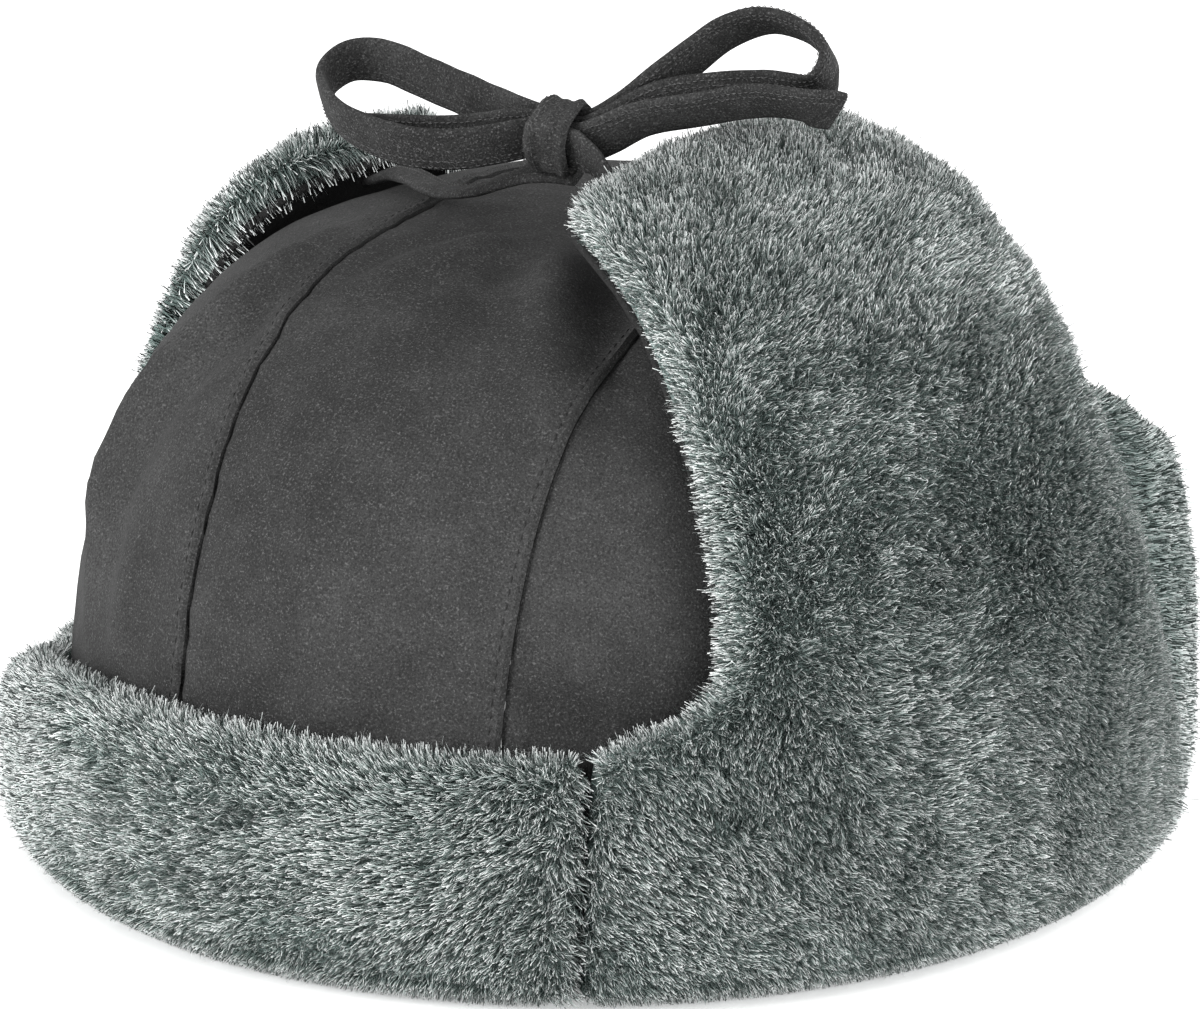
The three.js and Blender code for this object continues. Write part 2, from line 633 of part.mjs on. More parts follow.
// The knot: a short sleeve of strap that holds four layers of strap side by side.
function knotBody() {
  const layer = STRAP_THICKNESS + GAP;
  const hollowDepth = 4 * layer + GAP;
  const hollowWidth = STRAP_WIDTH + 4 * GAP;
  const roundedBox = (depth, width, radius) => {
    const shape = new THREE.Shape();
    shape.moveTo(-depth / 2 + radius, -width / 2);
    shape.lineTo(depth / 2 - radius, -width / 2);
    shape.absarc(depth / 2 - radius, -width / 2 + radius, radius, -Math.PI / 2, 0);
    shape.lineTo(depth / 2, width / 2 - radius);
    shape.absarc(depth / 2 - radius, width / 2 - radius, radius, 0, Math.PI / 2);
    shape.lineTo(-depth / 2 + radius, width / 2);
    shape.absarc(-depth / 2 + radius, width / 2 - radius, radius, Math.PI / 2, Math.PI);
    shape.lineTo(-depth / 2, -width / 2 + radius);
    shape.absarc(-depth / 2 + radius, -width / 2 + radius, radius, Math.PI, 1.5 * Math.PI);
    return shape;
  };
  const outline = roundedBox(hollowDepth + 2 * KNOT_WALL, hollowWidth + 2 * KNOT_WALL, KNOT_ROUNDING);
  outline.holes.push(roundedBox(hollowDepth, hollowWidth, GAP));
  const sleeve = new THREE.ExtrudeGeometry(outline, {
    depth: KNOT_LENGTH,
    bevelEnabled: false,
    curveSegments: 2,
  });
  sleeve.translate(-layer / 2, 0, -KNOT_LENGTH / 2);
  const turn = new THREE.Matrix4().makeBasis(
    new THREE.Vector3(0, Math.cos(radians(KNOT_LEAN)), Math.sin(radians(KNOT_LEAN))),
    new THREE.Vector3(0, -Math.sin(radians(KNOT_LEAN)), Math.cos(radians(KNOT_LEAN))),
    new THREE.Vector3(1, 0, 0),
  );
  sleeve.applyMatrix4(turn);
  sleeve.translate(knotCentre.x, knotCentre.y, knotCentre.z);
  sleeve.deleteAttribute('normal');
  sleeve.deleteAttribute('uv');
  return mergeVertices(sleeve, 1e-4);
}

const hat = new THREE.Group();
const pieces = new THREE.Group();
hat.add(pieces);

function addPiece(name, geometry, material) {
  geometry.computeVertexNormals();
  const piece = new THREE.Mesh(geometry, material);
  piece.name = name;
  pieces.add(piece);
}

const seamGap = GAP / 2;
addPiece(
  'crown_centre_panel',
  crownPanel(
    -HALF_PANEL + seamGap,
    HALF_PANEL - seamGap,
    HALF_PANEL - seamGap - SEAM_LAP_WIDTH,
    HALF_PANEL - seamGap,
  ),
  shellCloth,
);
addPiece('crown_left_panel', crownPanel(HALF_PANEL + seamGap, CROWN_WIDTH), shellCloth);
addPiece(
  'crown_right_panel',
  crownPanel(
    -CROWN_WIDTH,
    -HALF_PANEL - seamGap,
    -HALF_PANEL - seamGap - SEAM_LAP_WIDTH,
    -HALF_PANEL - seamGap,
  ),
  shellCloth,
);
addPiece('front_flap_cloth', flapBack(frontFlap, FRONT_COLUMNS), flapCloth);
addPiece('front_flap_fur', flapPile(frontFlap, FRONT_COLUMNS), pileFur);
addPiece('left_ear_flap_cloth', flapBack(leftFlap, LEFT_COLUMNS), flapCloth);
addPiece('left_ear_flap_fur', flapPile(leftFlap, LEFT_COLUMNS), pileFur);
addPiece('right_ear_flap_cloth', flapBack(rightFlap, RIGHT_COLUMNS), flapCloth);
addPiece('right_ear_flap_fur', flapPile(rightFlap, RIGHT_COLUMNS), pileFur);
addPiece('neck_flap_cloth', flapBack(neckFlap, NECK_COLUMNS), flapCloth);
addPiece('neck_flap_fur', flapPile(neckFlap, NECK_COLUMNS), pileFur);
addPiece('bow_knot', knotBody(), strapCloth);
addPiece('bow_left_loop', strapBody(LEFT_LOOP, LEFT_LOOP_REACH, LOOP_STEPS), strapCloth);
addPiece('bow_right_loop', strapBody(RIGHT_LOOP, RIGHT_LOOP_REACH, LOOP_STEPS), strapCloth);
addPiece('bow_left_tail', strapBody(LEFT_TAIL, LEFT_TAIL_REACH, TAIL_STEPS), strapCloth);
addPiece('bow_right_tail', strapBody(RIGHT_TAIL, RIGHT_TAIL_REACH, TAIL_STEPS), strapCloth);
addPiece('left_tie_lead', strapBody(LEFT_LEAD, LEAD_REACH, TAIL_STEPS), strapCloth);
addPiece('right_tie_lead', strapBody(RIGHT_LEAD, LEAD_REACH, TAIL_STEPS), strapCloth);

// The origin is on the surface that the hat rests on, below the middle of its bounding box.
const bounds = new THREE.Box3().setFromObject(pieces);
const middle = bounds.getCenter(new THREE.Vector3());
pieces.position.set(-middle.x, -middle.y, -bounds.min.z);

export default hat;
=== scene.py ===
"""Looks of an aviator hat with fur flaps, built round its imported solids."""

import logging
import math
from dataclasses import dataclass, field
from enum import Enum
from typing import Any, Callable

import bpy
import numpy as np
from mathutils import Matrix, Vector

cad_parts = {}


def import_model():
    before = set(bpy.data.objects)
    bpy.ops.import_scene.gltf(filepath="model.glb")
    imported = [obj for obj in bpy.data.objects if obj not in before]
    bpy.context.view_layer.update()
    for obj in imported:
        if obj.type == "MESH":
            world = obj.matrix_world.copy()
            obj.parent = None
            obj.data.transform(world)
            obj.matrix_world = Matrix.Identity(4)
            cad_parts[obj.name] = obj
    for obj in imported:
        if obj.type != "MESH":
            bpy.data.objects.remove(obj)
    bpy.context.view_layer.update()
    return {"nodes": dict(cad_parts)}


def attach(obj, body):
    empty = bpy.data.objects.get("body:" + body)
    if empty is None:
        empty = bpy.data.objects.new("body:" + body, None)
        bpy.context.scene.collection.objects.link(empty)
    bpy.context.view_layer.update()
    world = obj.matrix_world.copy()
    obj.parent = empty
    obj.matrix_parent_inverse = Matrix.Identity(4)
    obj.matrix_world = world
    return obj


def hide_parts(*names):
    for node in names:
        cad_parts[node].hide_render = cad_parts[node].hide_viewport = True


LOG = logging.getLogger("aviator_hat")
MM = 0.001
Array = np.ndarray
Colour = tuple[float, float, float, float]


# Shader sums


class Value:
    """A node output that Python's own operators can add Math nodes to."""

    def __init__(self, kit: "NodeKit", socket: bpy.types.NodeSocket) -> None:
        self.kit = kit
        self.socket = socket

    def sum(self, operation: str, other: "Value | float", flipped: bool = False) -> "Value":
        """Joins this value with another by one Math node.

        Args:
            operation: The Math node's operation.
            other: The second value.
            flipped: Whether the second value stands first.

        Returns:
            The node's output.
        """
        pair = (other, self) if flipped else (self, other)
        return self.kit.node("ShaderNodeMath", {"operation": operation}, {0: pair[0], 1: pair[1]})

    def __add__(self, other: "Value | float") -> "Value":
        """Sum of two values."""
        return self.sum("ADD", other)

    def __radd__(self, other: float) -> "Value":
        """Sum with a number in front."""
        return self.sum("ADD", other)

    def __rsub__(self, other: float) -> "Value":
        """Difference from a number."""
        return self.sum("SUBTRACT", other, flipped=True)

    def __mul__(self, other: "Value | float") -> "Value":
        """Product of two values."""
        return self.sum("MULTIPLY", other)

    def __rmul__(self, other: float) -> "Value":
        """Product with a number in front."""
        return self.sum("MULTIPLY", other)

    def between(self, low: float, high: float) -> "Value":
        """Maps this value to 0 at low and 1 at high with rounded ends, held beyond them.

        Args:
            low: The value that gives 0.
            high: The value that gives 1.

        Returns:
            The mapped value.
        """
        inputs = {0: self, 1: low, 2: high, 3: 0.0, 4: 1.0}
        return self.kit.node("ShaderNodeMapRange", {"interpolation_type": "SMOOTHSTEP"}, inputs)


class NodeKit:
    """Adds nodes to one material."""

    def __init__(self, name: str) -> None:
        """Starts an empty material of that name."""
        self.material = bpy.data.materials.new(name)
        self.material.use_nodes = True
        self.tree = self.material.node_tree
        self.tree.nodes.clear()

    def node(
        self, kind: str, settings: dict[str, Any], inputs: dict[Any, Any], output: int | str = 0
    ) -> Value:
        """Adds one node.

        Args:
            kind: The node's type.
            settings: Its settings, which are set before its sockets.
            inputs: Numbers, colours or values by the socket's index or name.
            output: The index or name of the output that is returned.

        Returns:
            That output.
        """
        made = self.tree.nodes.new(kind)
        for key, setting in settings.items():
            setattr(made, key, setting)
        for key, given in inputs.items():
            if isinstance(given, Value):
                self.tree.links.new(given.socket, made.inputs[key])
            else:
                made.inputs[key].default_value = given
        return Value(self, made.outputs[output])

    def mix(self, share: Value | float, start: Any, end: Any) -> Value:
        """Mixes two colours by a share."""
        return self.node("ShaderNodeMix", {"data_type": "RGBA"}, {0: share, 6: start, 7: end}, 2)

    def place(self) -> Value:
        """The point on the piece in its own coordinates, in metres."""
        return self.node("ShaderNodeTexCoord", {}, {}, "Object")

    def stretched(self, scale: tuple[float, float, float], turn: tuple[float, float, float]) -> Value:
        """The point on the piece, turned and stretched for a pattern."""
        return self.node("ShaderNodeMapping", {}, {0: self.place(), 2: turn, 3: scale})

    def grain(self, scale: float, detail: float, rough: float, at: Value | None = None) -> Value:
        """Noise of that many cells to the metre.

        Args:
            scale: Cells to a metre.
            detail: Octaves of finer noise.
            rough: Weight of the finer octaves.
            at: The point that is read, or the piece's own point.

        Returns:
            Noise from 0 to 1.
        """
        inputs = {"Vector": at or self.place(), "Scale": scale, "Detail": detail, "Roughness": rough}
        return self.node("ShaderNodeTexNoise", {}, inputs)

    def mark(self, name: str) -> Value:
        """A number that the mesh keeps at each of its corners."""
        return self.node("ShaderNodeAttribute", {"attribute_name": name}, {}, "Fac")

    def relief(self, height: Value, depth: float) -> Value:
        """A shading direction that follows a fine relief, whose depth is in metres."""
        return self.node("ShaderNodeBump", {}, {"Strength": 1.0, "Distance": depth, "Height": height})

    def surface(self, colour: Any, roughness: float, fixed: dict[str, Any]) -> None:
        """Ends the material in one Principled shader.

        Args:
            colour: The base colour.
            roughness: The roughness.
            fixed: Its other inputs by name.
        """
        inputs = {"Base Color": colour, "Roughness": roughness, **fixed}
        shader = self.node("ShaderNodeBsdfPrincipled", {}, inputs)
        ending = self.tree.nodes.new("ShaderNodeOutputMaterial")
        self.tree.links.new(shader.socket, ending.inputs["Surface"])


def shade(level: float, green: float = 0.0, blue: float = 0.0) -> Colour:
    """A near-grey colour from a brightness on the usual 0 to 255 scale.

    Args:
        level: Red, on the usual scale.
        green: What green has more.
        blue: What blue has more.

    Returns:
        The colour with the numbers that a shader uses.
    """
    parts = [(level + more) / 255 for more in (0.0, green, blue)]
    linear = [part / 12.92 if part <= 0.04045 else ((part + 0.055) / 1.055) ** 2.4 for part in parts]
    return (*linear, 1.0)


def dimmed(colour: Colour, share: float) -> Colour:
    """A share of a colour's brightness."""
    return (*(part * share for part in colour[:3]), 1.0)


# Finishes


@dataclass(frozen=True)
class WovenCloth:
    """Tightly woven brushed cloth with pale flecks in a dark yarn."""

    name: str
    yarn: Colour
    fleck: Colour
    fleck_share: float = 0.5
    weave_depth: float = 0.00022

    def build(self) -> bpy.types.Material:
        """Makes the material.

        Returns:
            The material.
        """
        kit = NodeKit(self.name)
        threads = kit.grain(2600, 2.0, 0.7)
        weft = kit.grain(800, 2.0, 0.6, kit.stretched((1.0, 1.0, 4.0), (0.0, 0.0, 0.4)))
        cloudy = kit.grain(26, 3.0, 0.55)
        worn = kit.grain(120, 3.0, 0.6)
        flecks = threads.between(0.53, 0.68) * (0.35 + 0.9 * weft.between(0.42, 0.62))
        faded = cloudy.between(0.3, 0.75) * 0.22 + worn.between(0.35, 0.8) * 0.16
        body = kit.mix(faded, self.yarn, self.fleck)
        soft = kit.mix(flecks * self.fleck_share, body, self.fleck)
        colour = kit.mix(threads.between(0.49, 0.36) * 0.6, soft, dimmed(self.yarn, 0.4))
        weave = kit.relief(threads * 0.7 + weft * 0.5, self.weave_depth)
        kit.surface(colour, 0.9, {"Specular IOR Level": 0.2, "Normal": weave})
        return kit.material


@dataclass(frozen=True)
class Thread:
    """Sewing thread."""

    name: str
    colour: Colour

    def build(self) -> bpy.types.Material:
        """Makes the material.

        Returns:
            The material.
        """
        kit = NodeKit(self.name)
        twist = kit.grain(1500, 2.0, 0.6)
        colour = kit.mix(twist.between(0.35, 0.65), dimmed(self.colour, 0.45), self.colour)
        kit.surface(colour, 0.7, {"Normal": kit.relief(twist, 0.0001)})
        return kit.material


@dataclass(frozen=True)
class PileSkin:
    """The dense depth of the pile, speckled between its standing hairs."""

    name: str
    colour: Colour

    def build(self) -> bpy.types.Material:
        """Makes the material.

        Returns:
            The material.
        """
        kit = NodeKit(self.name)
        ends = kit.grain(2400, 2.0, 0.65)
        tufts = kit.grain(420, 2.0, 0.6)
        speckle = ends.between(0.4, 0.64) * (0.45 + 0.55 * tufts.between(0.35, 0.6))
        colour = kit.mix(speckle, dimmed(self.colour, 0.25), self.colour)
        kit.surface(colour, 0.95, {"Specular IOR Level": 0.1, "Normal": kit.relief(ends + tufts, 0.0008)})
        return kit.material


@dataclass(frozen=True)
class PileHair:
    """Hairs that are dark green-grey at the root and silver at the tip."""

    name: str
    root: Colour
    middle: Colour
    tip: Colour

    def build(self) -> bpy.types.Material:
        """Makes the material.

        Returns:
            The material.
        """
        kit = NodeKit(self.name)
        along = kit.mark("along")
        tone = kit.mark("tone")
        patch = kit.grain(60, 3.0, 0.6)
        lower = kit.mix(along.between(0.1, 0.75), self.root, self.middle)
        upper = kit.mix(along.between(0.6, 1.0), lower, self.tip)
        dulled = kit.mix(patch.between(0.45, 0.7) * 0.3, upper, self.root)
        colour = kit.mix((1.0 - tone) * 0.68, dulled, self.root)
        kit.surface(colour, 0.7, {"Specular IOR Level": 0.2})
        return kit.material


@dataclass(frozen=True)
class PlainFloor:
    """A pale even floor, lit a little from below."""

    name: str
    colour: Colour
    glow: float = 0.4

    def build(self) -> bpy.types.Material:
        """Makes the material.

        Returns:
            The material.
        """
        kit = NodeKit(self.name)
        glow = {"Emission Color": self.colour, "Emission Strength": self.glow}
        kit.surface(self.colour, 0.9, {"Specular IOR Level": 0.1, **glow})
        return kit.material


SHELL = WovenCloth("shell_weave", shade(45), shade(94), 0.8)
BACKING = WovenCloth("backing_weave", shade(34), shade(66), 0.6)
TAPE = WovenCloth("tape_weave", shade(36), shade(98), 0.9, 0.0003)
TOPSTITCH = Thread("topstitch_thread", shade(30))
TAPE_STITCH = Thread("tape_thread", shade(86))
SKIN = PileSkin("pile_depth", shade(150, 18, 14))
HAIR = PileHair("pile_hair", shade(104, 17, 13), shade(200, 13, 9), shade(250, 3, 2))
FLOOR = PlainFloor("studio_floor", (0.93, 0.93, 0.93, 1.0))


# Meshes


def unit(vectors: Array) -> Array:
    """Vectors of length one."""
    return vectors / np.maximum(np.linalg.norm(vectors, axis=-1, keepdims=True), 1e-12)


def smooth_step(value: Array | float, low: float, high: float) -> Array:
    """Rises from 0 at low to 1 at high with rounded ends."""
    share = np.clip((np.asarray(value, dtype=float) - low) / (high - low), 0.0, 1.0)
    return share * share * (3.0 - 2.0 * share)


@dataclass(frozen=True)
class Ripple:
    """Smooth noise over space, made of a few seeded waves."""

    length: float
    seed: int
    waves: int = 9

    def at(self, points: Array) -> Array:
        """Three numbers for each point, each between about -1 and 1.

        Args:
            points: Points in millimetres.

        Returns:
            An array of the same shape as the points.
        """
        rng = np.random.default_rng(self.seed)
        total = np.zeros_like(points)
        for _ in range(self.waves):
            way = unit(rng.normal(size=(1, 3)))[0] * (2 * math.pi / (self.length * rng.uniform(0.7, 1.5)))
            swing = unit(rng.normal(size=(1, 3)))[0]
            total += np.sin(points @ way + rng.uniform(0, 6.3))[..., None] * swing
        return total * (1.6 / math.sqrt(self.waves))


@dataclass(frozen=True)
class Dome:
    """The crown's outer surface: an oval plan under a full round profile, in millimetres."""

    width: float = 185.0
    length: float = 220.0
    height: float = 113.0
    fullness: float = 3.3

    def point(self, angle: Array, rise: Array) -> Array:
        """Points on the surface.

        Args:
            angle: Angles round the crown from the front, in degrees.
            rise: Rises from the rim to the top, in degrees.

        Returns:
            The points.
        """
        turn, lift = np.radians(angle), np.radians(rise)
        across, up = np.maximum(np.cos(lift), 0.0), np.sin(lift)
        reach = (across**self.fullness + up**self.fullness) ** (-1 / self.fullness)
        return np.stack(
            [
                self.width / 2 * reach * across * np.sin(turn),
                -self.length / 2 * reach * across * np.cos(turn),
                self.height * reach * up,
            ],
            axis=-1,
        )

    def normal(self, points: Array) -> Array:
        """Outward directions at points on or near the surface.

        Args:
            points: The points.

        Returns:
            Vectors of length one.
        """
        x, y = points[..., 0] / (self.width / 2), points[..., 1] / (self.length / 2)
        z = np.maximum(points[..., 2], 0.0) / self.height
        side = np.maximum(np.hypot(x, y), 1e-9) ** (self.fullness - 2)
        across, along = side * x / (self.width / 2), side * y / (self.length / 2)
        return unit(np.stack([across, along, z ** (self.fullness - 1) / self.height], axis=-1))

    def distance(self, points: Array) -> Array:
        """How far points are outside the surface, nearly.

        Args:
            points: The points.

        Returns:
            Distances in millimetres, negative inside.
        """
        x, y = points[..., 0] / (self.width / 2), points[..., 1] / (self.length / 2)
        z = np.maximum(points[..., 2], 0.0) / self.height
        level = (np.hypot(x, y) ** self.fullness + z**self.fullness) ** (1 / self.fullness)
        scale = np.linalg.norm(points, axis=-1) / np.maximum(level, 1e-9)
        across = np.abs(np.sum(unit(points) * self.normal(points), axis=-1))
        return (level - 1) * scale * across

    def angle(self, points: Array) -> Array:
        """Angles round the crown from the front, in degrees."""
        return np.degrees(np.arctan2(points[..., 0] / self.width, -points[..., 1] / self.length))


DOME = Dome()


@dataclass
class Soup:
    """Vertices and faces of a mesh in the making."""

    vertices: list[Array] = field(default_factory=list)
    faces: list[list[int]] = field(default_factory=list)
    count: int = 0

    def add(self, points: Array, faces: list[list[int]]) -> None:
        """Adds points and the faces on them."""
        self.faces.extend([[self.count + corner for corner in face] for face in faces])
        self.vertices.append(points)
        self.count += len(points)

    def mesh(self, name: str) -> bpy.types.Object:
        """Makes an object of what was added.

        Args:
            name: The piece's name.

        Returns:
            The new object, in metres.
        """
        made = bpy.data.meshes.new(name)
        made.from_pydata((np.concatenate(self.vertices) * MM).tolist(), [], self.faces)
        made.validate()
        piece = bpy.data.objects.new(name, made)
        bpy.context.collection.objects.link(piece)
        return piece


def grid_faces(rows: int, columns: int, around: bool = False) -> list[list[int]]:
    """Quads between the points of a grid.

    Args:
        rows: Rows of points.
        columns: Points in a row.
        around: Whether the last column joins the first one.

    Returns:
        The faces.
    """
    last = columns if around else columns - 1
    return [
        [
            row * columns + column,
            row * columns + (column + 1) % columns,
            (row + 1) * columns + (column + 1) % columns,
            (row + 1) * columns + column,
        ]
        for row in range(rows - 1)
        for column in range(last)
    ]


def select_only(piece: bpy.types.Object) -> None:
    """Makes one object the only selected and the active one."""
    bpy.ops.object.select_all(action="DESELECT")
    piece.select_set(True)
    bpy.context.view_layer.objects.active = piece


def apply_modifier(piece: bpy.types.Object, kind: str, settings: dict[str, Any]) -> None:
    """Adds a modifier and applies it.

    Args:
        piece: The object.
        kind: The modifier's type.
        settings: Its settings.
    """
    select_only(piece)
    made = piece.modifiers.new(kind.lower(), kind)
    for key, setting in settings.items():
        setattr(made, key, setting)
    bpy.ops.object.modifier_apply(modifier=made.name)


def dress(piece: bpy.types.Object, slot: str, nodes: list[str], *finishes: bpy.types.Material) -> None:
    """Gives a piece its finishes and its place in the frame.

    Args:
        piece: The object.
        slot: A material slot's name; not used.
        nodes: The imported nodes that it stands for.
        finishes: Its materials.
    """
    for finish in finishes:
        piece.data.materials.append(finish)
    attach(piece, "root")
    if nodes:
        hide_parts(*nodes)
    LOG.info("%s: %d vertices", piece.name, len(piece.data.vertices))


def face_outwards(piece: bpy.types.Object) -> None:
    """Turns a closed piece's faces to its outside."""
    select_only(piece)
    bpy.ops.object.mode_set(mode="EDIT")
    bpy.ops.mesh.select_all(action="SELECT")
    bpy.ops.mesh.normals_make_consistent(inside=False)
    bpy.ops.object.mode_set(mode="OBJECT")


def shade_smooth(piece: bpy.types.Object, degrees: float) -> None:
    """Shades a piece smooth, with its sharper edges kept."""
    select_only(piece)
    bpy.ops.object.shade_smooth_by_angle(angle=math.radians(degrees))


@dataclass(frozen=True)
class StitchRow:
    """Short four-sided threads laid along a line, thickest at their middle."""

    length: float
    gap: float
    radius: float
    sides: int = 4

    def lay(self, soup: Soup, line: Array, normals: Array, rng: np.random.Generator) -> None:
        """Adds the stitches of one line.

        Args:
            soup: The mesh in the making.
            line: Points of the line, in millimetres.
            normals: Outward directions at the points.
            rng: Source of small differences.
        """
        steps = np.linalg.norm(np.diff(line, axis=0), axis=1)
        run = np.concatenate([[0.0], np.cumsum(steps)])
        start = self.gap
        rings = ((0.0, 0.5, -0.7), (0.5, 1.0, 0.45), (1.0, 0.5, -0.7))
        stations, swells, sinks = (np.array(column) for column in zip(*rings))
        count = self.sides
        while start + self.length < run[-1]:
            marks = start + self.length * stations
            centre = np.stack([np.interp(marks, run, line[:, k]) for k in range(3)], axis=1)
            out = unit(np.stack([np.interp(marks, run, normals[:, k]) for k in range(3)], axis=1))
            way = unit(centre[-1:] - centre[:1])[0]
            side = unit(np.cross(out, way))
            swell = swells * self.radius * rng.uniform(0.85, 1.15)
            centre = centre + out * (sinks * self.radius)[:, None] + side * rng.normal(0, 0.05)
            ring = [
                centre + (math.cos(turn) * side + math.sin(turn) * out) * swell[:, None]
                for turn in np.arange(count) * 2 * math.pi / count
            ]
            points = np.stack(ring, axis=1).reshape(-1, 3)
            walls = [face[::-1] for face in grid_faces(3, count, around=True)]
            ends = [list(range(count)), list(range(3 * count - 1, 2 * count - 1, -1))]
            soup.add(points, walls + ends)
            start += self.length + self.gap * rng.uniform(0.85, 1.15)


# Crown


@dataclass(frozen=True)
class Fold:
    """A soft fold in the crown's cloth along a few points."""

    points: tuple[tuple[float, float, float], ...]
    height: float
    spread: float

    def lift(self, places: Array) -> Array:
        """How far the fold raises the cloth.

        Args:
            places: Points on the crown.

        Returns:
            Heights in millimetres.
        """
        line = np.array(self.points, dtype=float)
        nearest = np.full(len(places), 1e9)
        along = np.zeros(len(places))
        parts = len(line) - 1
        for part, (start, end) in enumerate(zip(line[:-1], line[1:])):
            way = end - start
            share = np.clip((places - start) @ way / (way @ way), 0.0, 1.0)
            gap = np.linalg.norm(places - start - share[:, None] * way, axis=1)
            closer = gap < nearest
            nearest = np.where(closer, gap, nearest)
            along = np.where(closer, (part + share) / parts, along)
        fade = smooth_step(along, 0.0, 0.22) * (1 - smooth_step(along, 0.78, 1.0))
        return self.height * np.exp(-((nearest / self.spread) ** 2)) * (0.25 + 0.75 * fade)


CREASE = ((-63, -78, 47), (-65, -68, 69), (-56, -64, 88), (-48, -60, 97), (-43, -52, 103), (-37, -22, 110))
FOLDS = (
    Fold(CREASE, 2.6, 4.2),
    Fold(((-58, -86, 44), (-57, -77, 69), (-48, -72, 88), (-40, -66, 98), (-36, -48, 106)), -1.6, 4.5),
    Fold(((-50, -92, 40), (-50, -88, 52), (-46, -84, 66)), 1.0, 4.5),
    Fold(((6, -34, 112), (13, -52, 108), (22, -72, 98), (24, -84, 88)), 1.9, 5.0),
    Fold(((14, -30, 112), (23, -50, 107), (31, -66, 98), (36, -76, 88)), -2.2, 6.0),
    Fold(((0, -36, 112), (4, -62, 106), (9, -80, 96)), -1.3, 5.5),
    Fold(((-3, -32, 113), (-14, -50, 108), (-22, -64, 102)), 1.8, 4.6),
    Fold(((-8, -30, 112), (-22, -40, 109), (-27, -60, 104)), -1.2, 4.0),
    Fold(((-2, -110, 42), (4, -110, 54), (11, -107, 64)), 1.3, 4.4),
    Fold(((8, -110, 42), (14, -108, 50), (20, -104, 60)), -1.4, 4.2),
    Fold(((-14, -108, 43), (-9, -108, 50), (-4, -109, 54)), -1.0, 3.6),
    Fold(((34, -104, 58), (40, -98, 50), (47, -92, 44)), -1.5, 4.0),
    Fold(((35, -102, 66), (43, -94, 58), (50, -86, 50)), 1.2, 4.2),
    Fold(((40, -86, 84), (47, -76, 84), (54, -66, 82)), 1.2, 4.6),
)


class Seam(Enum):
    """The crown's two lapped seams, by where they stand across it in millimetres."""

    FAR = -31.0
    NEAR = 31.0


@dataclass(frozen=True)
class SeamForm:
    """How the cloth lies along the lapped seams, in millimetres."""

    groove: float = 0.4
    groove_width: float = 0.6
    pucker: float = 0.22
    pucker_reach: float = 5.0
    puckers: Ripple = Ripple(7.5, 11, 6)
    lap_width: float = 2.1
    lap_rise: float = 0.7
    lap_end: float = 0.7
    roll: float = 0.4
    roll_at: float = 0.8
    roll_width: float = 0.5
    sewn: float = 0.22
    sewn_at: float = 2.0
    sewn_width: float = 0.35


SEAM_FORM = SeamForm()


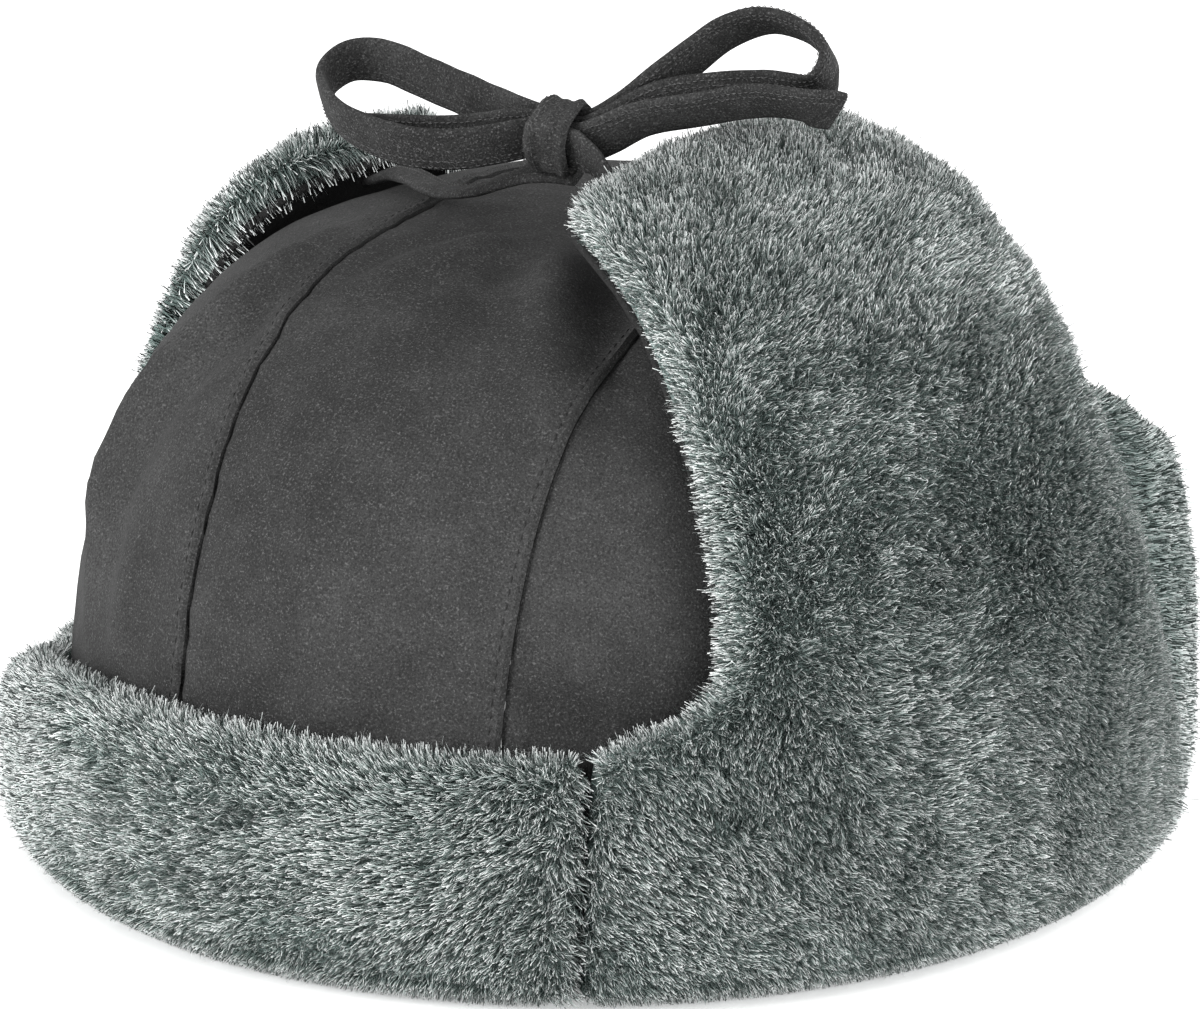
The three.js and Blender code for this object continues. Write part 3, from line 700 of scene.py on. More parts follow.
@dataclass
class CrownPanel:
    """One cloth panel of the crown, between two upright planes."""

    name: str
    node: str
    inner: float
    outer: float
    lap_at: float | None
    cloth: float = 1.5
    hem: float = 4.0
    rows: int = 50
    columns: int = 56
    seam_columns: int = 108
    seam_crowding: float = 1.6
    across: int = 40
    fold_share: float = 1.35
    slack: tuple[tuple[float, Ripple, int], ...] = ((0.45, Ripple(48, 3), 0), (0.16, Ripple(14, 5), 1))
    flat_below: tuple[float, float] = (4.0, 12.0)
    sunk: float = 0.05

    def sideways(self) -> Array:
        """Grid of a side panel: columns round the crown, rows from the hem to the seam.

        Returns:
            Points by row and column.
        """
        sign = math.copysign(1.0, self.inner)
        half = DOME.width / 2
        first = math.degrees(math.asin(abs(self.inner) / half)) + 0.03
        even = first + (180 - 2 * first) * np.linspace(0, 1, self.columns)
        seam = DOME.angle(self.over_top(abs(self.inner), self.seam_columns))
        angles = np.sort(np.concatenate([even, seam[(seam > first) & (seam < 180 - first)]]))
        grid = []
        for angle in angles:
            share = min(1.0, abs(self.inner) / (half * math.sin(math.radians(angle))))
            top = math.degrees(math.atan(max(share ** -DOME.fullness - 1, 0.0) ** (1 / DOME.fullness)))
            grid.append(self.profile(sign * angle, top))
        return np.stack(grid, axis=1)

    def profile(self, angle: float, top: float) -> Array:
        """Points up the crown at one angle, evenly spaced from the hem to a rise.

        Args:
            angle: The angle round the crown.
            top: The rise at which the line ends.

        Returns:
            The points.
        """
        level = (self.hem / DOME.height) ** DOME.fullness
        bottom = math.degrees(math.atan((level / (1 - level)) ** (1 / DOME.fullness)))
        rises = np.linspace(bottom, max(top, bottom + 0.01), 240)
        line = DOME.point(np.full(len(rises), angle), rises)
        return even_line(line, self.rows, self.seam_crowding)

    def lengthways(self) -> Array:
        """Grid of the centre panel: columns across it, rows over the top from front to back.

        Returns:
            Points by row and column.
        """
        grid = []
        half_width = (self.outer - self.inner) / 2
        for turn in np.linspace(0, math.pi, self.across):
            grid.append(self.over_top(self.inner + half_width * (1 - math.cos(turn)), self.columns))
        return np.stack(grid, axis=1)

    def over_top(self, x: float, count: int) -> Array:
        """Points over the crown from its front hem to its back hem, at one place across it.

        Args:
            x: The place across the crown, in millimetres.
            count: How many points are wanted.

        Returns:
            The points, evenly spaced.
        """
        reach = np.linspace(0.0, 1.0, 1400) ** 0.5
        low = abs(x) / (DOME.width / 2)
        plan = low + (1 - low) * reach
        z = DOME.height * np.maximum(1 - plan**DOME.fullness, 0.0) ** (1 / DOME.fullness)
        y = DOME.length / 2 * np.sqrt(np.maximum(plan**2 - low**2, 0.0))
        keep = z >= self.hem
        half = np.stack([np.full(keep.sum(), x), y[keep], z[keep]], axis=1)
        ending = half[-1].copy()
        ending[2] = self.hem
        half = np.concatenate([half, ending[None]])
        front = half[::-1] * [1, -1, 1]
        return even_line(np.concatenate([front, half[1:]]), count)

    def relief(self, points: Array) -> Array:
        """How far the cloth stands off the plain crown.

        Args:
            points: Points on the crown.

        Returns:
            Heights in millimetres.
        """
        height = self.fold_share * sum(fold.lift(points) for fold in FOLDS)
        height = height + sum(share * wave.at(points)[:, axis] for share, wave, axis in self.slack)
        form = SEAM_FORM
        for seam in Seam:
            gap = np.abs(points[:, 0] - seam.value)
            height = height - form.groove * np.exp(-((gap / form.groove_width) ** 2))
            pucker = form.puckers.at(points * [0.2, 1, 1])[:, 2]
            height = height + form.pucker * pucker * np.exp(-((gap / form.pucker_reach) ** 2))
        if self.lap_at is not None:
            inside = np.abs(points[:, 0] - self.lap_at)
            beyond = smooth_step(inside, form.lap_width, form.lap_width + form.lap_end)
            height = height + form.lap_rise * (1 - beyond)
            rolled = np.exp(-(((inside - form.roll_at) / form.roll_width) ** 2))
            sewn = np.exp(-(((inside - form.sewn_at) / form.sewn_width) ** 2))
            height = height + form.roll * rolled - form.sewn * sewn
        return height * smooth_step(points[:, 2], *self.flat_below)

    def build(self, finish: bpy.types.Material) -> None:
        """Makes the panel.

        Args:
            finish: Its cloth.
        """
        centre = self.inner < 0 < self.outer
        grid = self.lengthways() if centre else self.sideways()
        shape = grid.shape[:2]
        points = grid.reshape(-1, 3)
        points = points + DOME.normal(points) * (self.relief(points) - self.sunk)[:, None]
        soup = Soup()
        faces = grid_faces(*shape)
        if self.turned(points, faces):
            faces = [face[::-1] for face in faces]
        soup.add(points, faces)
        piece = soup.mesh(self.name)
        apply_modifier(piece, "WELD", {"merge_threshold": 2e-5})
        wall = {"thickness": self.cloth * MM, "offset": -1.0, "use_even_offset": False}
        apply_modifier(piece, "SOLIDIFY", wall)
        shade_smooth(piece, 60.0)
        dress(piece, "shell_cloth", [self.node], finish)

    @staticmethod
    def turned(points: Array, faces: list[list[int]]) -> bool:
        """Whether the faces of a grid look into the crown."""
        a, b, c = (points[corner] for corner in faces[len(faces) // 2][:3])
        return float(np.cross(b - a, c - b) @ DOME.normal(a[None])[0]) < 0


def even_line(line: Array, count: int, crowding: float = 1.0) -> Array:
    """Points spaced along a line, evenly or closer together towards its end.

    Args:
        line: The line's own points.
        count: How many points are wanted.
        crowding: How much closer they come, where 1 is evenly.

    Returns:
        The new points.
    """
    run = np.concatenate([[0.0], np.cumsum(np.linalg.norm(np.diff(line, axis=0), axis=1))])
    marks = run[-1] * (1 - np.linspace(1.0, 0.0, count) ** crowding)
    return np.stack([np.interp(marks, run, line[:, k]) for k in range(3)], axis=1)


@dataclass
class Crown:
    """The three-panel crown and the stitching along its seams."""

    panels: tuple[CrownPanel, ...] = (
        CrownPanel("crown_centre_cloth", "crown_centre_panel", -30.97, 30.97, 30.97, columns=150),
        CrownPanel("crown_left_cloth", "crown_left_panel", 31.02, 92.5, None),
        CrownPanel("crown_right_cloth", "crown_right_panel", -31.02, -92.5, -31.02),
    )
    stitch: StitchRow = StitchRow(1.5, 0.85, 0.17)
    stitch_from_seam: float = 2.0
    stitch_above: float = 12.0
    stitch_clear: float = 0.02

    def build(self) -> None:
        """Makes the panels and the stitches."""
        finish = SHELL.build()
        for panel in self.panels:
            panel.build(finish)
        rng = np.random.default_rng(41)
        soup = Soup()
        for seam, panel in ((Seam.NEAR, self.panels[0]), (Seam.FAR, self.panels[2])):
            line = panel.over_top(seam.value - self.stitch_from_seam, 1200)
            line = line[line[:, 2] > self.stitch_above]
            lift = panel.relief(line)
            normals = DOME.normal(line)
            self.stitch.lay(soup, line + normals * (lift + self.stitch_clear)[:, None], normals, rng)
        piece = soup.mesh("crown_topstitch")
        dress(piece, "shell_cloth", [], TOPSTITCH.build())


# Fur


@dataclass(frozen=True)
class Parting:
    """A line along which the pile falls to both sides and shows its depth."""

    start: tuple[float, float, float]
    end: tuple[float, float, float]
    width: float
    depth: float

    def gap(self, points: Array) -> tuple[Array, Array]:
        """How near points are to the line, and the way that leads off it.

        Args:
            points: Points in the pile.

        Returns:
            Nearness from 0 to 1, and vectors of length one.
        """
        first, last = np.array(self.start, dtype=float), np.array(self.end, dtype=float)
        way = last - first
        share = (points - first) @ way / (way @ way)
        inside = np.clip(share, 0.0, 1.0)
        off = points - first - inside[:, None] * way
        distance = np.linalg.norm(off, axis=1)
        wander = 1 + 0.45 * Ripple(9, 77).at(points)[:, 0]
        return np.exp(-((distance / (self.width * np.maximum(wander, 0.25))) ** 2)), unit(off)


@dataclass(frozen=True)
class Comb:
    """A way in which the pile is brushed round a place."""

    place: tuple[float, float, float]
    way: tuple[float, float, float]
    reach: float

    def pull(self, points: Array) -> Array:
        """How the comb leans the pile.

        Args:
            points: Points in the pile.

        Returns:
            A slope for each point.
        """
        gap = np.linalg.norm(points - np.array(self.place), axis=1)
        return np.exp(-((gap / self.reach) ** 2))[:, None] * np.array(self.way)


@dataclass(frozen=True)
class Dip:
    """A stretch of a flap's edge that has sunk."""

    place: tuple[float, float, float]
    reach: float
    drop: float

    def lower(self, points: Array) -> Array:
        """Points moved down, the more the higher they are.

        Args:
            points: Points of the flap.

        Returns:
            The moved points.
        """
        gap = np.linalg.norm(points - np.array(self.place), axis=1)
        moved = points.copy()
        share = np.clip(points[:, 2] / self.place[2], 0.0, 1.2)
        moved[:, 2] -= self.drop * np.exp(-((gap / self.reach) ** 2)) * share
        return moved


@dataclass(frozen=True)
class Shadow:
    """A darker stretch of pile round a place."""

    place: tuple[float, float, float]
    reach: float
    depth: float

    def cast(self, points: Array) -> Array:
        """How much darker the pile is.

        Args:
            points: Points in the pile.

        Returns:
            What is taken off the tone at each point.
        """
        gap = np.linalg.norm(points - np.array(self.place), axis=1)
        return self.depth * np.exp(-((gap / self.reach) ** 2))


@dataclass(frozen=True)
class Joint:
    """A low joint between two flaps, where their piles meet in one surface."""

    angle: float
    top: float
    reach: float = 2.4

    def gap(self, points: Array) -> Array:
        """Degrees round the crown from the joint to points."""
        return (DOME.angle(points) - self.angle + 180) % 360 - 180

    def near(self, points: Array) -> Array:
        """How near points are to the joint, from 0 to 1."""
        below = 1 - smooth_step(points[:, 2], self.top, self.top + 5)
        return np.exp(-((self.gap(points) / self.reach) ** 2)) * below

    def towards(self, points: Array) -> Array:
        """Directions round the crown that lead to the joint."""
        round_way = unit(np.cross(np.array([0.0, 0.0, 1.0]), DOME.normal(points)))
        return -np.sign(self.gap(points))[:, None] * round_way


@dataclass(frozen=True)
class Habit:
    """How hairs stand on every flap, as slopes, shares and millimetres."""

    flap_share: float = 0.62
    crown_share: float = 0.38
    rim_turn: float = 0.26
    rim_lean: float = 0.5
    fringe_lean: float = 0.28
    waves: tuple[tuple[float, Ripple], ...] = (
        (0.13, Ripple(40, 15)),
        (0.12, Ripple(12, 16)),
        (0.1, Ripple(4.5, 17)),
    )
    loose: float = 0.17
    clump_lean: float = 0.26
    clump_pull: float = 0.3
    parting_lean: float = 0.9
    parting_drop: float = 4.5
    parting_sink: float = 1.2
    joint_lean: float = 0.5
    joint_bridge: float = 2.6
    joint_rise: float = 2.0
    shortest: float = 0.82
    bumps: Ripple = Ripple(22, 18)
    tufts: tuple[float, Ripple] = (0.3, Ripple(7, 19))
    long_tips: tuple[float, float] = (2.0, 0.24)
    tip_start: float = 0.35
    clump_reach: float = 0.35
    hem_trim: float = 1.1
    lowest: float = 0.12


@dataclass(frozen=True)
class Sowing:
    """Where hairs stand, with cosines for how a face is turned."""

    inner_faces: float = -0.35
    foot: float = 2.5
    foot_share: float = 0.35
    joint_near: float = 0.3
    joint_faces: float = 0.45
    joint_top_faces: float = 1.2


@dataclass(frozen=True)
class Bowing:
    """How the longer hairs bow, as shares and millimetres."""

    longer: float = 1.1
    bend_at: float = 0.58
    sideways: float = 0.7
    outward: float = 0.9
    bend: tuple[float, float] = (0.2, 1.0)
    waist: float = 0.8
    lighter: float = 0.12


@dataclass(frozen=True)
class Depth:
    """How the pile's depth lies under the hairs, as shares and millimetres."""

    off_crown: float = 0.55
    off_flap: float = 0.45
    turned: tuple[float, float] = (-0.2, 0.4)
    raised: float = 1.2
    foot: float = 3.0
    tone: float = 0.3


@dataclass(frozen=True)
class Toning:
    """How light and dark change over the pile, as the hairs' own tone and as painted light and shade, where
    0 is a hair's root colour all along it.
    """

    middle: float = 0.81
    by_clump: float = 0.26
    by_hair: float = 0.22
    # painted rim light: the pile is lightened where the flap turns side-on to the crown
    painted_rim_light: float = 0.35
    cloudy: tuple[float, Ripple] = (0.2, Ripple(19, 20))
    by_bump: float = 0.12
    # painted shade: hairs along a parting are darkened, as the parted pile lies deeper
    painted_parting_shade: float = 0.5
    # painted light: the pile is lighter low down, where the floor's light reaches it
    low: tuple[float, float, float] = (0.34, 12.0, 56.0)
    # painted light: the pile is lighter near the top
    high: tuple[float, float, float] = (0.16, 92.0, 112.0)


HABIT = Habit()
SOWING = Sowing()
BOWING = Bowing()
DEPTH = Depth()
TONING = Toning()
Spray = tuple[Array, Array, Array, Array, Array]


@dataclass
class PileCoat:
    """The fur of one flap: a dense depth inside its solid, and hairs that end at its surface."""

    name: str
    node: str
    hairs: int
    locks: int
    parts: int = 1
    seed: int = 1
    depth: float = 3.4
    hair_width: float = 0.13
    lock_width: float = 0.15
    clump: float = 1.8
    sunk: float = 2.6
    partings: tuple[Parting, ...] = ()
    combs: tuple[Comb, ...] = ()
    shadows: tuple[Shadow, ...] = ()
    dips: tuple[Dip, ...] = ()
    fringe: float = 0.9
    swell: float = 0.4
    joints: tuple[Joint, ...] = ()

    def solid(self, source: bpy.types.Object) -> tuple[Array, Array, Array]:
        """The node's surface, merged and rounded.

        Args:
            source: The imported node.

        Returns:
            Its vertices in millimetres, its triangles, and its vertex normals.
        """
        copy = bpy.data.objects.new(f"{self.node}_form", source.data.copy())
        bpy.context.collection.objects.link(copy)
        apply_modifier(copy, "WELD", {"merge_threshold": 1e-5})
        select_only(copy)
        bpy.ops.object.mode_set(mode="EDIT")
        bpy.ops.mesh.select_all(action="SELECT")
        limits = {"face_threshold": math.radians(40), "shape_threshold": math.radians(60)}
        bpy.ops.mesh.tris_convert_to_quads(**limits)
        bpy.ops.object.mode_set(mode="OBJECT")
        apply_modifier(copy, "SUBSURF", {"levels": 2, "render_levels": 2})
        apply_modifier(copy, "TRIANGULATE", {})
        mesh = copy.data
        vertices = np.empty(len(mesh.vertices) * 3)
        normals = np.empty(len(mesh.vertices) * 3)
        triangles = np.empty(len(mesh.polygons) * 3, dtype=np.int32)
        mesh.vertices.foreach_get("co", vertices)
        mesh.vertex_normals.foreach_get("vector", normals)
        mesh.polygons.foreach_get("vertices", triangles)
        bpy.data.objects.remove(copy)
        bpy.data.meshes.remove(mesh)
        return vertices.reshape(-1, 3) / MM, triangles.reshape(-1, 3), normals.reshape(-1, 3)

    def scatter(
        self, count: int, vertices: Array, triangles: Array, normals: Array, rng: np.random.Generator
    ) -> tuple[Array, Array]:
        """Places over the outer side of the solid.

        Args:
            count: How many places.
            vertices: The solid's vertices.
            triangles: Its triangles.
            normals: Its vertex normals.
            rng: Source of the places.

        Returns:
            The places and the surface's directions there.
        """
        corners = vertices[triangles]
        face = np.cross(corners[:, 1] - corners[:, 0], corners[:, 2] - corners[:, 0])
        area = np.linalg.norm(face, axis=1) / 2
        middle = corners.mean(axis=1)
        towards = np.sum(unit(face) * DOME.normal(middle), axis=1)
        weight = area * np.where(towards < SOWING.inner_faces, 0.0, 1.0)
        underneath = (middle[:, 2] < SOWING.foot) & (face[:, 2] < 0)
        weight = weight * np.where(underneath, SOWING.foot_share, 1.0)
        for joint in self.joints:
            sideways = np.abs(towards) < SOWING.joint_faces
            inner = sideways & (face[:, 2] < SOWING.joint_top_faces * area)
            weight = weight * np.where((joint.near(middle) > SOWING.joint_near) & inner, 0.0, 1.0)
        edge = np.cumsum(weight) / weight.sum()
        chosen = np.searchsorted(edge, rng.random(count))
        u, v = rng.random(count), rng.random(count)
        over = u + v > 1
        u, v = np.where(over, 1 - u, u), np.where(over, 1 - v, v)
        share = np.stack([1 - u - v, u, v], axis=1)[:, :, None]
        return (
            (vertices[triangles[chosen]] * share).sum(axis=1),
            unit((normals[triangles[chosen]] * share).sum(axis=1)),
        )

    def clumps(self, points: Array) -> tuple[Array, Array]:
        """The clump that each hair belongs to.

        Args:
            points: Places of the hairs.

        Returns:
            The clumps' middles, and three numbers of each clump's own.
        """
        cell = np.floor(points / self.clump).astype(np.int64)
        best = np.full(len(points), 1e9)
        middle = np.zeros_like(points)
        own = np.zeros_like(points)
        for step in np.ndindex(3, 3, 3):
            near = cell + (np.array(step) - 1)
            toss = self.toss(near)
            centre = (near + toss) * self.clump
            gap = np.sum((points - centre) ** 2, axis=1)
            closer = gap < best
            best = np.where(closer, gap, best)
            middle = np.where(closer[:, None], centre, middle)
            own = np.where(closer[:, None], self.toss(near + 9173), own)
        return middle, own

    def toss(self, cells: Array) -> Array:
        """Three even numbers from 0 to 1 for each cell of a grid."""
        key = cells[:, 0] * 73856093 ^ cells[:, 1] * 19349663 ^ cells[:, 2] * 83492791
        key = key + self.seed * 7919
        factors = (0.0129, 0.0783, 0.0371)
        parts = [np.abs(np.sin((key % 1000003) * factor) * 43758.5453) % 1.0 for factor in factors]
        return np.stack(parts, axis=1)

    def close_joints(self, points: Array, rng: np.random.Generator) -> tuple[Array, Array, Array]:
        """Spreads hairs over the joints beside the flap.

        Args:
            points: The hairs' places.
            rng: Source of how far each goes.

        Returns:
            The new places, how near each is to a joint, and the slopes to the joints.
        """
        joined = np.zeros(len(points))
        inward = np.zeros_like(points)
        for joint in self.joints:
            near, towards = joint.near(points), joint.towards(points)
            joined = np.maximum(joined, near)
            inward = inward + towards * (near * HABIT.joint_lean)[:, None]
            bridge = rng.uniform(0, HABIT.joint_bridge, len(points))
            points = points + towards * (near**2 * bridge)[:, None]
        return points, joined, inward

    def part(self, points: Array) -> tuple[Array, Array]:
        """Lays the pile aside along the partings.

        Args:
            points: The hairs' places.

        Returns:
            The slopes off the partings, and how much shorter each hair is.
        """
        fall = np.zeros_like(points)
        shortness = np.zeros(len(points))
        for parting in self.partings:
            near, away = parting.gap(points)
            fall = fall + away * (near * HABIT.parting_lean)[:, None]
            shortness = np.maximum(shortness, near * parting.depth)
        return fall, shortness

    def shade_of(
        self, points: Array, own: Array, side_on: Array, bump: Array, shortness: Array, loose: Array
    ) -> Array:
        """Tones of hairs, with painted light and shade in them.

        Args:
            points: The hairs' places.
            own: Three numbers of each hair's clump.
            side_on: How far the flap's surface is turned from the crown's there.
            bump: How far the pile swells there, in millimetres.
            shortness: How much shorter each hair is.
            loose: Each hair's own small difference.

        Returns:
            Tones from 0 to 1.
        """
        # painted rim light: hairs are lighter where the flap turns side-on
        tone = TONING.middle + TONING.by_clump * (own[:, 0] - 0.5) + loose + TONING.painted_rim_light * side_on
        share, clouds = TONING.cloudy
        tone = tone + share * clouds.at(points)[:, 0]
        # painted shade: hairs along partings are darker
        tone = tone + TONING.by_bump * bump - TONING.painted_parting_shade * shortness
        # painted light: hairs are lighter low down
        share, start, end = TONING.low
        tone = tone + share * (1 - smooth_step(points[:, 2], start, end))
        # painted light: hairs are lighter near the top
        share, start, end = TONING.high
        tone = tone + share * smooth_step(points[:, 2], start, end)
        for shadow in self.shadows:
            tone = tone - shadow.cast(points)
        return np.clip(tone, 0.0, 1.0)

    def grow(
        self, points: Array, outs: Array, rng: np.random.Generator
    ) -> tuple[Array, Array, Array, Array]:
        """Roots, tips and tones of hairs that end at places on the surface.

        Args:
            points: The places.
            outs: The surface's directions there.
            rng: Source of small differences.

        Returns:
            Roots, tips, shading directions and tones.
        """
        count = len(points)
        crown_out = DOME.normal(points)
        face_on = np.sum(outs * crown_out, axis=1)
        points, joined, inward = self.close_joints(points, rng)
        outs = unit(outs + (crown_out - outs) * joined[:, None])
        height = DOME.distance(points)
        rim = (1 - smooth_step(face_on, -0.1, 0.55)) * (1 - smooth_step(height, 3.5, 8.0 + self.fringe))
        turned = HABIT.crown_share - HABIT.rim_turn * self.fringe * rim
        base = unit(outs * HABIT.flap_share + crown_out * turned[:, None])
        lean = inward + sum(share * wave.at(points) for share, wave in HABIT.waves)
        lean = lean + rng.normal(0, HABIT.loose, (count, 3))
        lean = lean - crown_out * (rim * (HABIT.rim_lean + HABIT.fringe_lean * self.fringe))[:, None]
        for comb in self.combs:
            lean = lean + comb.pull(points)
        middle, own = self.clumps(points)
        fall, shortness = self.part(points)
        lean = lean + (own - 0.5) * HABIT.clump_lean + fall
        lean = lean - base * np.sum(lean * base, axis=1)[:, None]
        way = unit(base + lean)
        below = (outs[:, 2] < -0.5) & (points[:, 2] < 4)
        kept = np.where(below, 0.25 + 0.5 * smooth_step(height, 1.0, 6.0), 1.0)
        length = self.depth * rng.uniform(HABIT.shortest, 1.0, count) * kept
        tuft_share, tufts = HABIT.tufts
        bump = self.swell * HABIT.bumps.at(points)[:, 0] + tuft_share * tufts.at(points)[:, 0]
        ends = rng.gamma(*HABIT.long_tips, count) - HABIT.tip_start + bump + HABIT.clump_reach * own[:, 1]
        ends = ends - HABIT.hem_trim * (1 - smooth_step(points[:, 2], 4, 18)) + HABIT.joint_rise * joined
        beyond = np.where(below, 0.0, ends) + rim * self.fringe - shortness * HABIT.parting_drop
        pulled = (middle - points) * HABIT.clump_pull
        pulled = pulled - way * np.sum(pulled * way, axis=1)[:, None]
        tips = points + way * beyond[:, None] + pulled * ~below[:, None]
        roots = points - way * length[:, None] - crown_out * (shortness * HABIT.parting_sink)[:, None]
        for ending in (tips, roots):
            ending[:, 2] = np.maximum(ending[:, 2], HABIT.lowest)
        loose = rng.normal(0, TONING.by_hair, count)
        tone = self.shade_of(points, own, 1 - face_on, bump, shortness, loose)
        return roots, tips, unit(0.75 * outs + 0.25 * crown_out), tone

    def build(self, source: bpy.types.Object, ground: bpy.types.Material, hair: bpy.types.Material) -> None:
        """Makes the coat in its parts.

        Args:
            source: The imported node.
            ground: Finish of the pile's depth.
            hair: Finish of the hairs.
        """
        rng = np.random.default_rng(self.seed)
        vertices, triangles, normals = self.solid(source)
        for dip in self.dips:
            vertices = dip.lower(vertices)
        thin = 1.0
        hairs, locks = int(self.hairs * thin), int(self.locks * thin)
        places, outs = self.scatter(hairs + locks, vertices, triangles, normals, rng)
        roots, tips, facing, tone = self.grow(places, outs, rng)
        curved = np.arange(hairs + locks) >= hairs
        order = np.argsort(places[:, 2]) if self.parts > 1 else np.arange(hairs + locks)
        widen = 1 / math.sqrt(thin)
        for number, band in enumerate(np.array_split(order, self.parts)):
            name = self.name if self.parts == 1 else f"{self.name}_{number + 1}"
            plain, bent = band[~curved[band]], band[curved[band]]
            sprays = [
                self.straight(roots[plain], tips[plain], facing[plain], tone[plain], widen, rng),
                self.bowed(roots[bent], tips[bent], facing[bent], tone[bent], widen, rng),
            ]
            inner = self.ground(vertices, triangles, normals) if number == 0 else None
            piece = self.join(name, inner, sprays)
            dress(piece, "fur", [self.node] if number == 0 else [], hair, ground)

    def ground(self, vertices: Array, triangles: Array, normals: Array) -> tuple[Array, Array, Array]:
        """The pile's depth, sunk below the solid's outer side.

        Args:
            vertices: The solid's vertices.
            triangles: Its triangles.
            normals: Its vertex normals.

        Returns:
            Its vertices, triangles and normals.
        """
        outward = DOME.normal(vertices)
        sink = self.sunk * smooth_step(np.sum(normals * outward, axis=1), *DEPTH.turned)
        sunk = vertices - (outward * DEPTH.off_crown + normals * DEPTH.off_flap) * sink[:, None]
        sunk[:, 2] = np.maximum(sunk[:, 2], np.minimum(vertices[:, 2] + DEPTH.raised, DEPTH.foot))
        return sunk, triangles, normals

    def straight(
        self, roots: Array, tips: Array, facing: Array, tone: Array, widen: float, rng: np.random.Generator
    ) -> Spray:
        """Hairs of one triangle each, every second one with a sheared blunt tip.

        Args:
            roots: Where they start.
            tips: Where they end.
            facing: Directions that they are shaded by.
            tone: Their tones.
            widen: Widening of the hairs.
            rng: Source of their turns.

        Returns:
            Vertices, triangles, normals, shares along the hair and tones.
        """
        side = self.breadth(tips - roots, rng) * (self.hair_width * widen / 2)
        points = np.stack([roots - side, roots + side, tips], axis=1)
        sheared = np.stack([tips - side, tips + side, roots], axis=1)
        blunt = (np.arange(len(roots)) % 2 > 0)[:, None]
        points = np.where(blunt[:, :, None], sheared, points)
        along = np.where(blunt, [[1.0, 1.0, 0.0]], [[0.0, 0.0, 1.0]])
        faces = np.arange(len(roots) * 3, dtype=np.int32).reshape(-1, 3)
        return points.reshape(-1, 3), faces, np.repeat(facing, 3, axis=0), along.ravel(), np.repeat(tone, 3)

    def bowed(
        self, roots: Array, tips: Array, facing: Array, tone: Array, widen: float, rng: np.random.Generator
    ) -> Spray:
        """Longer hairs of two joints each, bowed outwards.

        Args:
            roots: Where they start.
            tips: Where they end.
            facing: Directions that they are shaded by.
            tone: Their tones.
            widen: Widening of the hairs.
            rng: Source of their turns.

        Returns:
            Vertices, triangles, normals, shares along the hair and tones.
        """
        count = len(roots)
        tips = tips + unit(tips - roots) * rng.uniform(0.0, BOWING.longer, (count, 1))
        way = tips - roots
        side = self.breadth(way, rng) * (self.lock_width * widen / 2)
        bend = unit(rng.normal(size=(count, 3))) * BOWING.sideways + facing * BOWING.outward
        halfway = roots + way * BOWING.bend_at + bend * rng.uniform(*BOWING.bend, (count, 1))
        for place in (halfway, tips):
            place[:, 2] = np.maximum(place[:, 2], HABIT.lowest)
        waist = (halfway - side * BOWING.waist, halfway + side * BOWING.waist)
        points = np.stack([roots - side, roots + side, *waist, tips], axis=1)
        first = np.arange(count, dtype=np.int32)[:, None] * 5
        corners = ([0, 1, 3], [0, 3, 2], [2, 3, 4])
        faces = np.concatenate([first + three for three in corners], axis=0).astype(np.int32)
        along = np.tile([0.0, 0.0, BOWING.bend_at, BOWING.bend_at, 1.0], count)
        lighter = np.clip(tone + BOWING.lighter, 0, 1)
        return points.reshape(-1, 3), faces, np.repeat(facing, 5, axis=0), along, np.repeat(lighter, 5)

    @staticmethod
    def breadth(way: Array, rng: np.random.Generator) -> Array:
        """Directions across hairs, each turned at random."""
        return unit(np.cross(way, rng.normal(size=way.shape)))

    @staticmethod
    def join(name: str, ground: tuple[Array, Array, Array] | None, sprays: list[Spray]) -> bpy.types.Object:
        """Makes one object of a ground and its hairs.

        Args:
            name: The piece's name.
            ground: Vertices, triangles and normals of the ground, or None.
            sprays: Vertices, triangles, normals, shares and tones of the hairs.

        Returns:
            The piece.
        """
        parts = list(sprays)
        grounded = 0
        if ground is not None:
            count = len(ground[0])
            parts.append((*ground, np.zeros(count), np.full(count, DEPTH.tone)))
            grounded = len(ground[1])
        offsets = np.cumsum([0] + [len(part[0]) for part in parts[:-1]])
        points = np.concatenate([part[0] for part in parts]).astype(np.float32) * MM
        faces = np.concatenate([part[1] + offset for part, offset in zip(parts, offsets)]).astype(np.int32)
        mesh = bpy.data.meshes.new(name)
        mesh.vertices.add(len(points))
        mesh.vertices.foreach_set("co", points.ravel())
        mesh.loops.add(faces.size)
        mesh.loops.foreach_set("vertex_index", faces.ravel())
        mesh.polygons.add(len(faces))
        mesh.polygons.foreach_set("loop_start", np.arange(0, faces.size, 3, dtype=np.int32))
        finish = np.zeros(len(faces), dtype=np.int32)
        if grounded:
            finish[-grounded:] = 1
        mesh.polygons.foreach_set("material_index", finish)
        for label, column in (("along", 3), ("tone", 4)):
            numbers = np.concatenate([part[column] for part in parts]).astype(np.float32)
            mesh.attributes.new(label, "FLOAT", "POINT").data.foreach_set("value", numbers)
        mesh.update()
        facing = np.concatenate([part[2] for part in parts]).astype(np.float32)
        mesh.normals_split_custom_set_from_vertices(facing)
        piece = bpy.data.objects.new(name, mesh)
        bpy.context.collection.objects.link(piece)
        return piece


